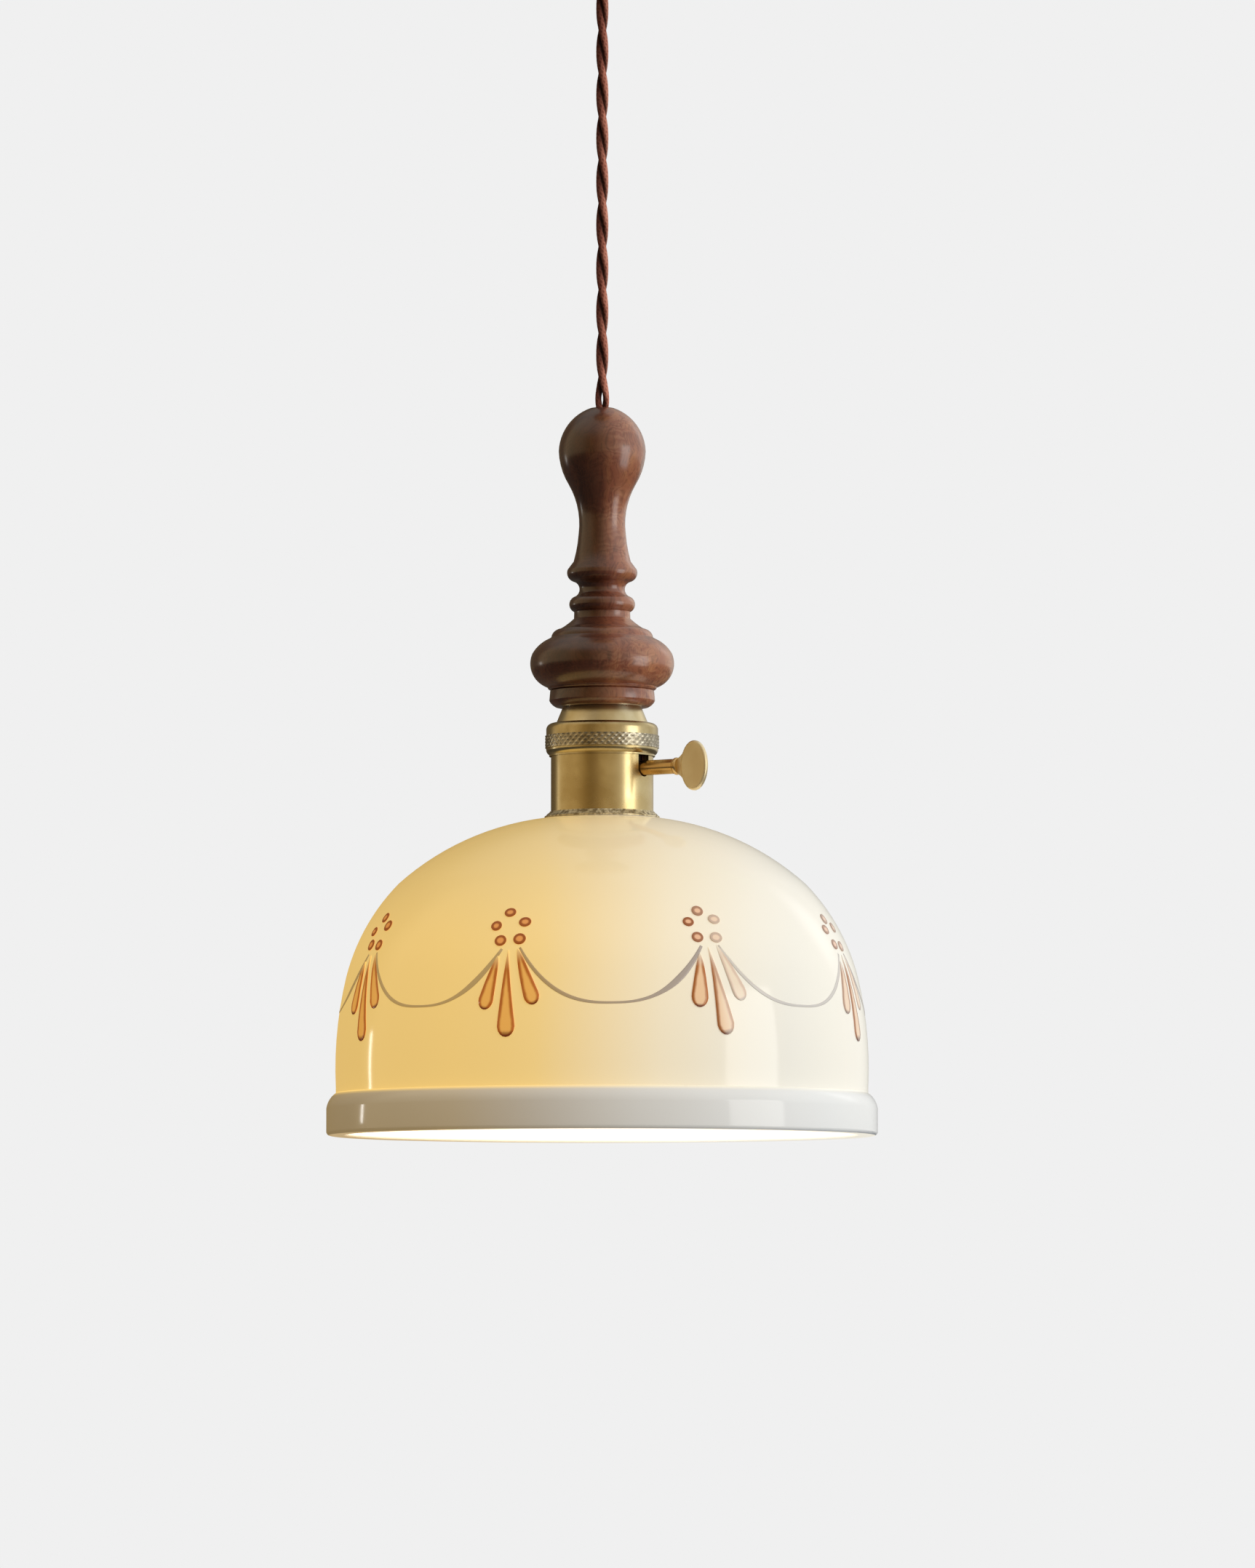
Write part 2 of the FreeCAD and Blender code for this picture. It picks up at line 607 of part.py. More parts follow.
def holder_cap():
    """The brass cap: a cone under the handle, a threaded boss inside it and a flange for the ring."""
    bore = "nipple_radius + thread_clearance"
    under = "(cap_height - cap_wall)"
    turned("holder_cap", SHELL_TOP, [
        ("cap_foot_radius - cap_wall", "0"),
        ("cap_flange_radius", "0"),
        ("cap_flange_radius", "cap_flange_thick"),
        ("cap_foot_radius", "cap_flange_thick"),
        ("cap_top_radius", "cap_height"),
        (bore, "cap_height"),
        (bore, "cap_height - cap_boss_length"),
        ("cap_boss_radius", "cap_height - cap_boss_length"),
        ("cap_boss_radius", under),
        ("cap_top_radius - cap_wall", under),
    ])


def knurled_ring():
    """The ring that clamps the cap to the shell: round shoulder, knurled band and a skirt that curves in."""
    lip_bottom = "(ring_height - ring_lip)"
    knurl_top = "(ring_height - knurl_drop)"
    knurl_foot = f"({knurl_top} - knurl_height)"
    plain = "(ring_radius - knurl_step)"
    lip = "cap_foot_radius + ring_bore_gap"
    turned("knurled_ring", f"{SHELL_TOP} - cap_flange_thick - ring_lip + ring_height", [
        ("shell_radius + ring_bore_gap", "0"),
        ("ring_foot_radius", "0"),
        ("ring_foot_radius", "ring_foot_height"),
        (plain, knurl_foot, f"{plain} - ({plain} - ring_foot_radius) * {CORNER_SHARE}",
         f"ring_foot_height + ({knurl_foot} - ring_foot_height) * {CORNER_SHARE}"),
        ("ring_radius", knurl_foot),
        ("ring_radius", knurl_top),
        (plain, knurl_top),
        (plain, "ring_height - ring_shoulder"),
        ("cap_foot_radius + ring_lip", "ring_height",
         f"{plain} - ({plain} - cap_foot_radius - ring_lip) * {CORNER_SHARE}",
         f"ring_height - ring_shoulder * {CORNER_SHARE}"),
        (lip, "ring_height"),
        (lip, lip_bottom),
        ("shell_radius + ring_bore_gap", lip_bottom),
    ])


def notch(body, height, reach, seat):
    """Cuts the open notch for the key's stem into a tube's +X side, down from its top."""
    sketch = new_sketch(body, "YZ_Plane", "notch")
    half = "notch_width / 2"
    outline(sketch, [
        (f"-{half}", f"{height} + cut_overrun"),
        (f"-{half}", seat),
        (half, seat, "0", f"{seat} - {half}"),
        (half, f"{height} + cut_overrun"),
    ])
    pocket(body, sketch, f"{reach} + cut_overrun", reversed_way=True)


def holder_shell():
    """The lamp holder's brass shell: a notched tube, a threaded lower end and a lip inside."""
    height = "(shell_length + thread_length)"
    body = turned("holder_shell", SHELL_END, [
        ("shell_lip_radius", "0"),
        ("thread_radius", "0"),
        ("thread_radius", "thread_length"),
        ("shell_radius", "thread_length"),
        ("shell_radius", height),
        ("shell_bore_radius", height),
        ("shell_bore_radius", "shell_lip"),
        ("shell_lip_radius", "shell_lip"),
    ])
    notch(body, height, "shell_radius", f"{height} - stem_drop")
    turn_to_key(body)


def insulating_liner():
    """The fibre sleeve between the shell and the live switch body."""
    outer = "(shell_bore_radius - seat_gap)"
    height = f"({BODY_END} - {SHELL_TOP} - liner_head)"
    body = turned("insulating_liner", BODY_END, [
        (f"{outer} - liner_wall", "0"),
        (outer, "0"),
        (outer, height),
        (f"{outer} - liner_wall", height),
    ])
    notch(body, height, "shell_radius", f"{height} + liner_head - stem_drop")
    turn_to_key(body)


def switch_body():
    """The moulded switch body: solid above, with the stem's bore, and a cup round the screw shell."""
    outer = "(shell_bore_radius - 2 * seat_gap - liner_wall)"
    height = f"({BODY_END} - {BODY_TOP})"
    ceiling = f"({height} - body_top_thick)"
    body = turned("switch_body", BODY_END, [
        ("body_cup_radius", "0"),
        (outer, "0"),
        (outer, f"{height} - body_edge"),
        (f"{outer} - body_edge", height),
        ("0", height),
        ("0", ceiling),
        ("body_cup_radius", ceiling),
    ])
    bore = new_sketch(body, "YZ_Plane", "stem_bore")
    raise_sketch(bore, "stem_root - stem_clearance")
    circle(bore, "0", f"{BODY_END} - {STEM_LINE}", "stem_radius + stem_clearance")
    pocket(body, bore, "shell_radius", reversed_way=True)
    holes = new_sketch(body, "XY_Plane", "binding_holes")
    raise_sketch(holes, height)
    for side in ("-1", "1"):
        circle(holes, "0", f"{side} * binding_offset", "binding_radius + screw_clearance")
    pocket(body, holes, "binding_depth")
    turn_to_key(body)


def binding_screws():
    """Two screws on top of the switch body that hold the wires."""
    members = []
    for name, side in (("front", -1), ("back", 1)):
        screw = doc.addObject("PartDesign::Body", f"binding_screw_{name}")
        section = new_sketch(screw, "XZ_Plane", "section")
        outline(section, [
            ("0", "-binding_depth + screw_clearance"),
            ("binding_radius", "-binding_depth + screw_clearance"),
            ("binding_radius", "0"),
            ("binding_head_radius", "0"),
            ("0", "binding_head_thick", *dome("binding_head_radius", "binding_head_thick")),
        ])
        revolve(screw, section)
        turn = FreeCAD.Rotation(FreeCAD.Vector(0, 0, 1), -value("key_angle"))
        spot = turn.multVec(FreeCAD.Vector(0, side * value("binding_offset"), -value(BODY_TOP)))
        screw.Placement = FreeCAD.Placement(spot, turn)
        members.append(screw)
    group("binding_screws", members)


def screw_shell():
    """The thin threaded contact that the bulb screws into, with a flange on the cup's ceiling."""
    outer = "(body_cup_radius - seat_gap)"
    turned("screw_shell", f"{BODY_CEILING} + screw_shell_length", [
        (f"{outer} - screw_shell_wall", "0"),
        (outer, "0"),
        (outer, "screw_shell_length"),
        (f"{outer} - screw_shell_flange", "screw_shell_length"),
        (f"{outer} - screw_shell_flange", "screw_shell_length - screw_shell_wall"),
        (f"{outer} - screw_shell_wall", "screw_shell_length - screw_shell_wall"),
    ])


def centre_contact():
    """The bent spring tongue over the bulb's tip."""
    body = new_body("centre_contact", f"{BODY_CEILING} + tongue_drop + tongue_thick")
    profile = new_sketch(body, "XZ_Plane", "profile")
    top = "(tongue_drop + tongue_thick)"
    outline(profile, [
        (f"-tongue_length * {TONGUE_PLATE_SHARE}", top),
        (f"-tongue_length * {TONGUE_PLATE_SHARE}", "tongue_drop"),
        (f"tongue_length * {SLOPE_TOP_SHARE}", "tongue_drop"),
        (f"-tongue_length * {TONGUE_FOOT_SHARE}", "tongue_thick"),
        (f"-tongue_length * {TONGUE_FOOT_SHARE}", "0"),
        (f"tongue_length * {TONGUE_FOOT_SHARE}", "0"),
        (f"tongue_length * {TONGUE_FOOT_SHARE}", "tongue_thick"),
        (f"-tongue_length * {SLOPE_FOOT_SHARE}", "tongue_thick"),
        (f"tongue_length * {TONGUE_PLATE_SHARE}", "tongue_drop"),
        (f"tongue_length * {TONGUE_PLATE_SHARE}", top),
    ])
    pad(body, profile, "tongue_width", both_ways=True)
    turn_to_key(body)


# Turn key

def switch_stem():
    """The round stem of the switch, out through the notch."""
    body = new_body("switch_stem", STEM_LINE)
    section = new_sketch(body, "XZ_Plane", "section")
    outline(section, block("stem_root", "0", "stem_tip", "stem_radius"))
    revolve(body, section, "H_Axis")
    turn_to_key(body)


def key_collar():
    """The small collar between the stem and the key."""
    body = new_body("key_collar", STEM_LINE)
    section = new_sketch(body, "XZ_Plane", "section")
    outline(section, [
        ("stem_tip", "0"),
        ("stem_tip + hub_length", "0"),
        ("stem_tip + hub_length", "stem_radius"),
        ("stem_tip", "stem_radius", "stem_tip + hub_length / 2", "hub_radius"),
    ])
    revolve(body, section, "H_Axis")
    turn_to_key(body)


def turn_key():
    """The flat oval key with a rounded rim, cast in one with its neck."""
    body = new_body("turn_key", STEM_LINE)
    face = new_sketch(body, "XZ_Plane", "face")
    reach, top = value("key_half_width"), value("key_half_height")
    centre = point("key_reach", "0")
    oval = face.addGeometry(Part.Ellipse(
        centre + FreeCAD.Vector(0, top, 0), centre + FreeCAD.Vector(reach, 0, 0), centre), False)
    pin(face, oval, 3, "key_reach", "0")
    face.exposeInternalGeometry(oval)
    long_axis, short_axis = oval + 1, oval + 2
    face.addConstraint(Sketcher.Constraint("Vertical", long_axis))
    bind(face, "Distance", long_axis, rule="2 * key_half_height")
    bind(face, "Distance", short_axis, rule="2 * key_half_width")
    pad(body, face, "key_thick", both_ways=True)
    rim = value("key_thick") / 2
    round_edges(body, "key_round", lambda edge: abs(centre_of(edge).y) > rim / 2)
    neck = new_sketch(body, "XZ_Plane", "neck")
    root = "stem_tip + hub_length"
    end_across, end_up = share_of(NECK_END_SHARES, "key_half_width", "key_half_height")
    turn_across, turn_up = share_of(NECK_TURN_SHARES, "key_half_width", "key_half_height")
    outline(neck, [
        (root, "-stem_radius"),
        (f"key_reach - {end_across}", f"-{end_up}", f"key_reach - {turn_across}", f"-{turn_up}"),
        (f"key_reach - {end_across}", end_up),
        (root, "stem_radius", f"key_reach - {turn_across}", turn_up),
    ])
    pad(body, neck, "key_neck_thick", both_ways=True)
    turn_to_key(body)


# Shade rings and washers

def shade_top_ring():
    """The thin sloping ring on the shade's top, under the shell's step."""
    bore = "thread_radius + ring_thread_gap"
    turned("shade_top_ring", f"{SHELL_STEP} + top_ring_height", [
        (bore, "0"),
        ("top_ring_radius", "0"),
        ("top_ring_radius", "washer_thick"),
        ("top_ring_neck_radius", "top_ring_height"),
        (bore, "top_ring_height"),
    ])


def washer(label, below_ceiling, radius, thick):
    """A flat silicone washer round the shell's thread."""
    bore = "thread_radius + ring_thread_gap"
    turned(label, below_ceiling, [(bore, "0"), (radius, "0"), (radius, thick), (bore, thick)])


def shade_under_ring():
    """The ring inside the shade that screws up the shell's thread, with finger flutes round its skirt."""
    bore = "(thread_radius + ring_thread_gap)"
    skirt = f"({bore} + under_ring_wall)"
    body = turned("shade_under_ring", f"{SHADE_SEAT} + under_washer_thick + under_ring_length", [
        (bore, "0"),
        (skirt, "0"),
        (skirt, "under_ring_length - under_ring_flange"),
        ("under_ring_radius", "under_ring_length - under_ring_flange"),
        ("under_ring_radius", "under_ring_length - under_ring_edge"),
        ("under_ring_radius - under_ring_edge", "under_ring_length"),
        (bore, "under_ring_length"),
    ])
    flute = new_sketch(body, "XY_Plane", "flute")
    circle(flute, f"under_ring_radius + flute_radius / 2", "0", "flute_radius")
    cut = pocket(body, flute, "under_ring_length", reversed_way=True)
    pattern = body.newObject("PartDesign::PolarPattern", "shade_under_ring_flutes")
    pattern.Originals = [cut]
    pattern.Axis = (flute, ["N_Axis"])
    pattern.Angle = 360
    pattern.setExpression("Occurrences", on_sheet("grip_flutes"))
    body.Tip = pattern


# Shade

def ceramic_shade():
    """The glazed bell: a dome with a hole on top and a thick band round its mouth."""
    inner_radius, inner_height = "(shade_radius - shade_wall)", "(shade_height - shade_wall)"
    seat = "under_ring_radius + shade_seat"
    neck = "shade_height - shade_neck_thick"
    inside = [share_of(shares, inner_radius, inner_height) for shares in DOME_SHARES]
    outside = [share_of(shares, "shade_radius", "shade_height") for shares in DOME_SHARES]
    shoulder_in, shoulder_down = share_of(SHOULDER_SHARES, "band_step", "band_round")
    turned("ceramic_shade", SHADE_END, [
        ("shade_hole_radius", "shade_height"),
        ("shade_hole_radius + shade_land", "shade_height"),
        *outside,
        ("shade_radius", "band_height"),
        (BAND_RADIUS, "band_height - band_round",
         f"{BAND_RADIUS} - {shoulder_in}", f"band_height - {shoulder_down}"),
        (BAND_RADIUS, "rim_round"),
        (f"{BAND_RADIUS} - rim_round", "0",
         middle_of_corner(BAND_RADIUS, "rim_round"), f"rim_round * {CORNER_SHARE}"),
        (f"{inner_radius} + rim_round", "0"),
        (inner_radius, "rim_round",
         f"{inner_radius} + rim_round * {CORNER_SHARE}", f"rim_round * {CORNER_SHARE}"),
        *backwards([(seat, neck), *inside]),
        ("shade_hole_radius", neck),
    ])


# Bulb

def bulb_cap():
    """The bulb's threaded cap, open at the glass end, with a rolled neck over the base insulator."""
    turned("bulb_cap", GLASS_TOP, [
        ("bulb_cap_radius - bulb_cap_wall", "0"),
        ("bulb_cap_radius", "0"),
        ("bulb_cap_radius", "bulb_cap_length - bulb_base_height"),
        ("bulb_base_radius", "bulb_cap_length"),
        ("bulb_base_radius - bulb_cap_wall", "bulb_cap_length"),
        ("bulb_cap_radius - bulb_cap_wall", "bulb_cap_length - bulb_base_height - bulb_cap_wall"),
    ])


def bulb_base():
    """The black glass insulator on the cap's end."""
    turned("bulb_base", CAP_TOP, [
        ("0", "0"),
        ("bulb_base_radius", "0"),
        ("bulb_tip_radius", "bulb_base_height"),
        ("0", "bulb_base_height"),
    ])


def bulb_tip():
    """The bulb's tip contact."""
    turned("bulb_tip", f"{CAP_TOP} - bulb_base_height", [
        ("0", "0"),
        ("bulb_tip_radius", "0"),
        ("0", "bulb_tip_height", *dome("bulb_tip_radius", "bulb_tip_height")),
    ])


def globe(radius, length, neck, lift):
    """Half section of the globe from its round end up to its straight neck, raised by a lift."""
    rows = [share_of(shares, radius, length) for shares in BULB_SHARES]
    bend_across, bend_up = share_of(NECK_BEND_SHARES, radius, length)
    rows.append((neck, f"{length} * {NECK_TOP_SHARE}", bend_across, bend_up))
    return [tuple(f"{rule} + {lift}" if place % 2 else rule for place, rule in enumerate(row))
            for row in rows]


def bulb_glass():
    """The opal glass bulb: a hollow globe whose neck steps in and is cemented into the cap."""
    inner = "(bulb_radius - glass_thick)"
    collar = "(bulb_cap_radius - bulb_cap_wall - glass_seat_gap)"
    top = "bulb_length + collar_length"
    hollow = globe(inner, "(bulb_length - glass_thick)", f"{collar} - glass_thick", "glass_thick")
    turned("bulb_glass", f"{GLASS_TOP} + bulb_length", [
        ("0", "0"),
        *globe("bulb_radius", "bulb_length", "bulb_neck_radius", "0"),
        ("bulb_neck_radius", "bulb_length"),
        (collar, "bulb_length"),
        (collar, top),
        (f"{collar} - glass_thick", top),
        *backwards([("0", "glass_thick"), *hollow]),
    ])


def bulb_mount():
    """The glass post inside the bulb that carries its filaments, flared to the neck's wall."""
    flare = "(bulb_cap_radius - bulb_cap_wall - 2 * glass_seat_gap - glass_thick)"
    turned("bulb_mount", f"{GLASS_TOP} - collar_length + mount_length", [
        ("0", "0"),
        ("mount_radius", "0"),
        ("mount_radius", "mount_length - mount_flare"),
        (flare, "mount_length - glass_thick"),
        (flare, "mount_length"),
        ("0", "mount_length"),
    ])


def filaments():
    """Four upright filaments round the end of the glass post."""
    members = []
    count = int(value("filament_count"))
    reach = "(mount_radius + filament_radius + seat_gap)"
    for number in range(count):
        rod = doc.addObject("Part::Cylinder", f"filament_{number}")
        turn = 2 * math.pi * number / count
        rod.setExpression("Radius", on_sheet("filament_radius"))
        rod.setExpression("Height", on_sheet("filament_length"))
        rod.setExpression("Placement.Base.x", on_sheet(f"{reach} * {round(math.cos(turn), 6)}"))
        rod.setExpression("Placement.Base.y", on_sheet(f"{reach} * {round(math.sin(turn), 6)}"))
        rod.setExpression("Placement.Base.z",
                          on_sheet(f"-({GLASS_TOP} - collar_length + mount_flare + filament_length)"))
        members.append(rod)
    group("bulb_filaments", members)


ceiling_strap()
ceiling_cup()
group("cup_screws", [side_screw("cup_screw_right", 0), side_screw("cup_screw_left", 180)])
cord_grip()
grip_nut()
grip_grub_screw()
terminal_block()
terminal_screws()
cup_cord()
pendant_cord()
wood_handle()
threaded_insert()
threaded_nipple()
handle_cord()
holder_cap()
knurled_ring()
holder_shell()
insulating_liner()
switch_body()
binding_screws()
screw_shell()
centre_contact()
switch_stem()
key_collar()
turn_key()
shade_top_ring()
washer("shade_top_washer", SHADE_TOP, "washer_radius", "washer_thick")
washer("shade_under_washer", f"{SHADE_SEAT} + under_washer_thick", "under_ring_radius - under_ring_edge",
       "under_washer_thick")
shade_under_ring()
ceramic_shade()
bulb_cap()
bulb_base()
bulb_tip()
bulb_glass()
bulb_mount()
filaments()

doc.recompute()
for item in doc.Objects:
    if "Invalid" in item.State or "Error" in item.State:
        raise ValueError(f"{item.Name} didn't recompute: {item.State}")
for node in nodes:
    if node.Shape.isNull() or not node.Shape.isValid():
        raise ValueError(f"{node.Label} has no valid shape")

os.makedirs("parts", exist_ok=True)
for node in nodes:
    node.Shape.exportStep(f"parts/{node.Label}.step")
    print(f"{node.Label}: {len(node.Shape.Solids)} solids, {node.Shape.Volume:.1f} mm3")
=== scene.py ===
# %% [markdown]
# # A ceramic pendant light
# The lamp hangs on a twisted cord: a turned wooden handle, a brass lamp holder with a turn key, and a
# glazed ceramic bell that is lit from inside. The CAD model comes in as a fixed frame in metres, with its
# origin in the ceiling plane, +Z up and the lamp's front towards -Y. Each step below either gives a CAD
# piece its finish or models a better piece in its place.

# %% Load the frame
import math
import random

import bmesh
import bpy
from mathutils import Matrix, Vector


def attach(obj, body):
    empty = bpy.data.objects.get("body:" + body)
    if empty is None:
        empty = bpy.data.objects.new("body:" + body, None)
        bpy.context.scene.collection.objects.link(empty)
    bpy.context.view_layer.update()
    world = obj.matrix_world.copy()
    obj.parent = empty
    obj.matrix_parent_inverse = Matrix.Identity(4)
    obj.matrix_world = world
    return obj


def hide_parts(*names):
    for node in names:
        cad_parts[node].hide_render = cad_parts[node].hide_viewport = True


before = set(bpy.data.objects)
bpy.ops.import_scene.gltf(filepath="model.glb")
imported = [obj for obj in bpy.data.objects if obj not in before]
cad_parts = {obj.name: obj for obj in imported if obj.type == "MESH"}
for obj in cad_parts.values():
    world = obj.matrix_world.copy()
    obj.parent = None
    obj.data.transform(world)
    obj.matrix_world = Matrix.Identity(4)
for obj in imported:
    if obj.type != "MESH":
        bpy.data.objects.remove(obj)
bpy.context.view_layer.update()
MM = 0.001

# %% [markdown]
# Colours are written as a painter reads them off a screen, in sRGB hex. Shaders work with linear light, so
# one function turns them. Nodes could be added with a function for each kind, but one that takes the kind,
# its sockets and its options says the same with less to learn.

# %% Colours and nodes
def shade_of(code):
    """Turns an sRGB hex code into the linear colour that shaders use."""
    parts = [int(code[place:place + 2], 16) / 255 for place in (0, 2, 4)]
    return [part / 12.92 if part <= 0.04045 else ((part + 0.055) / 1.055) ** 2.4 for part in parts] + [1.0]


def add(tree, kind, sockets=None, stops=(), **options):
    """Adds a node. A socket is given a value or another node's output, and a ramp its stops."""
    made = tree.nodes.new("ShaderNode" + kind)
    for name, option in options.items():
        setattr(made, name, option)
    for name, given in (sockets or {}).items():
        if isinstance(given, bpy.types.NodeSocket):
            tree.links.new(given, made.inputs[name])
        else:
            made.inputs[name].default_value = given
    for count, (place, colour) in enumerate(stops):
        stop = made.color_ramp.elements[0] if count == 0 else (
            made.color_ramp.elements[-1] if count == 1 else made.color_ramp.elements.new(place))
        stop.position = place
        stop.color = colour
    return made


def new_finish(name, **sockets):
    """A material with its Principled shader, whose even settings are given by socket."""
    material = bpy.data.materials.new(name)
    material.use_nodes = True
    shader = material.node_tree.nodes["Principled BSDF"]
    for socket, given in sockets.items():
        shader.inputs[socket.replace("_", " ")].default_value = given
    return material, material.node_tree, shader


def ramp_over(tree, value, low, high, rows):
    """A colour that changes with a value. A row is (value, hex code) or (value, three factors)."""
    share = add(tree, "MapRange", {"Value": value, "From Min": low, "From Max": high}).outputs["Result"]
    stops = [((at - low) / (high - low), shade_of(tone) if isinstance(tone, str) else (*tone, 1))
             for at, tone in rows]
    return add(tree, "ValToRGB", {"Fac": share}, stops=[stops[0], stops[-1]] + stops[1:-1]).outputs["Color"]


def way_about(tree, place):
    """The way round the lamp's axis in degrees: 0 faces the front, towards -Y, and 90 faces +X."""
    parts = add(tree, "SeparateXYZ", {0: place}).outputs
    behind = add(tree, "Math", {0: parts["Y"], 1: -1.0}, operation="MULTIPLY").outputs[0]
    way = add(tree, "Math", {0: parts["X"], 1: behind}, operation="ARCTAN2").outputs[0]
    return add(tree, "Math", {0: way, 1: 180 / math.pi}, operation="MULTIPLY").outputs[0]


print("mid grey is", [round(part, 3) for part in shade_of("808080")[:3]])

# %% [markdown]
# The photograph is taken with a long lens a little below the middle of the lamp, so the camera looks up by
# four degrees and sees a sliver of the shade's inside. The frame is 1725 x 2156 pixels, and a long lens
# keeps the bell's outline almost free of perspective. A short lens from nearby would show more of the mouth
# and a wider band.

# %% Camera
LOOK_UP = math.radians(4.09)
HALF_FRAME = math.radians(11.37 / 2)
camera_data = bpy.data.cameras.new("camera")
camera_data.lens = camera_data.sensor_width / 2 / math.tan(HALF_FRAME)
camera = bpy.data.objects.new("camera", camera_data)
camera.location = (0.0102, -3.16, -0.594)
camera.rotation_euler = (math.radians(90) + LOOK_UP, 0, 0)
bpy.context.scene.collection.objects.link(camera)
bpy.context.scene.camera = camera
bpy.context.scene.view_settings.view_transform = "Standard"
print("camera lens", round(camera_data.lens, 1), "mm")

# %% [markdown]
# ## The twisted cord
# The cord is two wires in a braided cotton cover, twisted together by hand: one turn takes 35 mm. It hangs
# taut from the ceiling grip into the handle's mouth. A bump on a plain tube would miss the two strands'
# wavy outline, so each strand is swept as a tube of its own along the route, read from a NURBS spline.

# %% Cord route
CORD_TOP, CORD_END = -0.0335, -0.2225
CORD_EXIT = (0, 0, -0.216)
ROUTE = [(0, 0, CORD_END), CORD_EXIT, (0, 0, -0.170), (0, 0, -0.100), (0, 0, -0.042), (0, 0, CORD_TOP)]

route_curve = bpy.data.curves.new("cord_route", "CURVE")
route_curve.dimensions = "3D"
route_curve.resolution_u = 40
route = route_curve.splines.new("NURBS")
route.points.add(len(ROUTE) - 1)
for point, place in zip(route.points, ROUTE):
    point.co = (*place, 1)
route.order_u = 3
route.use_endpoint_u = True
route_object = bpy.data.objects.new("cord_route", route_curve)
route_line = bpy.data.meshes.new_from_object(route_object)
CORD_PATH = [vertex.co.copy() for vertex in route_line.vertices]
bpy.data.objects.remove(route_object)
cord_length = sum((b - a).length for a, b in zip(CORD_PATH, CORD_PATH[1:]))
print("cord path:", len(CORD_PATH), "points,", round(cord_length / MM, 1), "mm")

# %% [markdown]
# The spline's own points crowd together in places. A sweep through them would have long faces in one place
# and short ones in another, so the route is walked once more in even steps.

# %% Even steps along the cord
SWEEP_STEP = 0.8 * MM


def along(path, step):
    """Places at even steps along a path."""
    places = [path[0].copy()]
    left = step
    for start, end in zip(path, path[1:]):
        run = (end - start).length
        done = 0.0
        while run - done >= left:
            done += left
            places.append(start.lerp(end, done / run))
            left = step
        left -= run - done
    return places


stations = along(CORD_PATH, SWEEP_STEP)
print("stations along the cord:", len(stations))

# %% [markdown]
# Pressed against each other, the strands are oval. A curve with a round bevel can't keep an oval's flat
# side towards its neighbour all the way, so a circle is squashed, extruded from station to station and
# turned as it goes. The UV map is made on the way: x is the way round, y the millimetres along.

# %% Sweep an oval
def swept(bm, centres, outwards, wide, thick, sides):
    """Sweeps an oval along the centres, thin side outwards. UV is the way round and millimetres along."""
    paint = bm.loops.layers.uv.verify()
    ends = [centres[0]] + centres[:-1], centres[1:] + [centres[-1]]
    frames = []
    for before, after, centre, outward in zip(*ends, centres, outwards):
        onward = (after - before).normalized()
        beside = onward.cross(outward).normalized()
        turned = Matrix((beside.cross(onward), beside, onward)).transposed()
        frames.append(Matrix.Translation(centre) @ turned.to_4x4())
    ring = bmesh.ops.create_circle(bm, cap_ends=True, segments=sides, radius=1.0,
                                   matrix=frames[0] @ Matrix.Diagonal((thick, wide, 1, 1)))["verts"]
    edges = [edge for edge in {e for v in ring for e in v.link_edges} if all(v in ring for v in edge.verts)]
    travelled = 0.0
    for place, (last, here) in enumerate(zip(frames, frames[1:])):
        grown = bmesh.ops.extrude_edge_only(bm, edges=edges)["geom"]
        ring = [part for part in grown if isinstance(part, bmesh.types.BMVert)]
        edges = [part for part in grown if isinstance(part, bmesh.types.BMEdge)
                 and all(v in ring for v in part.verts)]
        bmesh.ops.transform(bm, matrix=here @ last.inverted(), verts=ring)
        step = (here.translation - last.translation).length
        new_row = set(ring)
        for face in {part for part in grown if isinstance(part, bmesh.types.BMFace)}:
            ways = []
            for loop in face.loops:
                frame_here = here if loop.vert in new_row else last
                local = frame_here.inverted() @ loop.vert.co
                ways.append(math.atan2(local.y, local.x) / math.tau)
            for loop, way in zip(face.loops, ways):
                if max(ways) - min(ways) > 0.5 and way < 0:
                    way += 1
                travel = travelled + (step if loop.vert in new_row else 0)
                loop[paint].uv = (way, travel / MM)
        travelled += step
    bmesh.ops.edgeloop_fill(bm, edges=edges)


trial = bmesh.new()
swept(trial, [Vector((0, 0, 0)), Vector((0, 0, -SWEEP_STEP))], [Vector((1, 0, 0))] * 2, MM, MM, 16)
print("one step of a strand, with both its ends, has", len(trial.faces), "faces")
trial.free()

# %% [markdown]
# The strands lie half a turn apart on one helix. Both go into one mesh, because they are one cord and swing
# as one. Right over the handle they part a little, as they do where a knot inside holds them.

# %% Two twisted strands
STRAND_WIDE, STRAND_THICK = 1.54 * MM, 1.26 * MM      # half sizes
STRAND_OFFSET = 1.22 * MM
TWIST = 35.3 * MM
TWIST_START = math.radians(-2)
SPREAD, SPREAD_AT, SPREAD_REACH = 0.35 * MM, -0.2125, 5.0 * MM


def piece_from(bm, name, body, sharp_over=None):
    """Makes a finished bmesh a smooth piece that rides on a CAD body."""
    bmesh.ops.recalc_face_normals(bm, faces=bm.faces)
    mesh = bpy.data.meshes.new(name)
    bm.to_mesh(mesh)
    bm.free()
    mesh.shade_smooth()
    if sharp_over:
        mesh.set_sharp_from_angle(angle=math.radians(sharp_over))
    piece = bpy.data.objects.new(name, mesh)
    bpy.context.scene.collection.objects.link(piece)
    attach(piece, body)
    print(name, "has", len(mesh.polygons), "faces")
    return piece


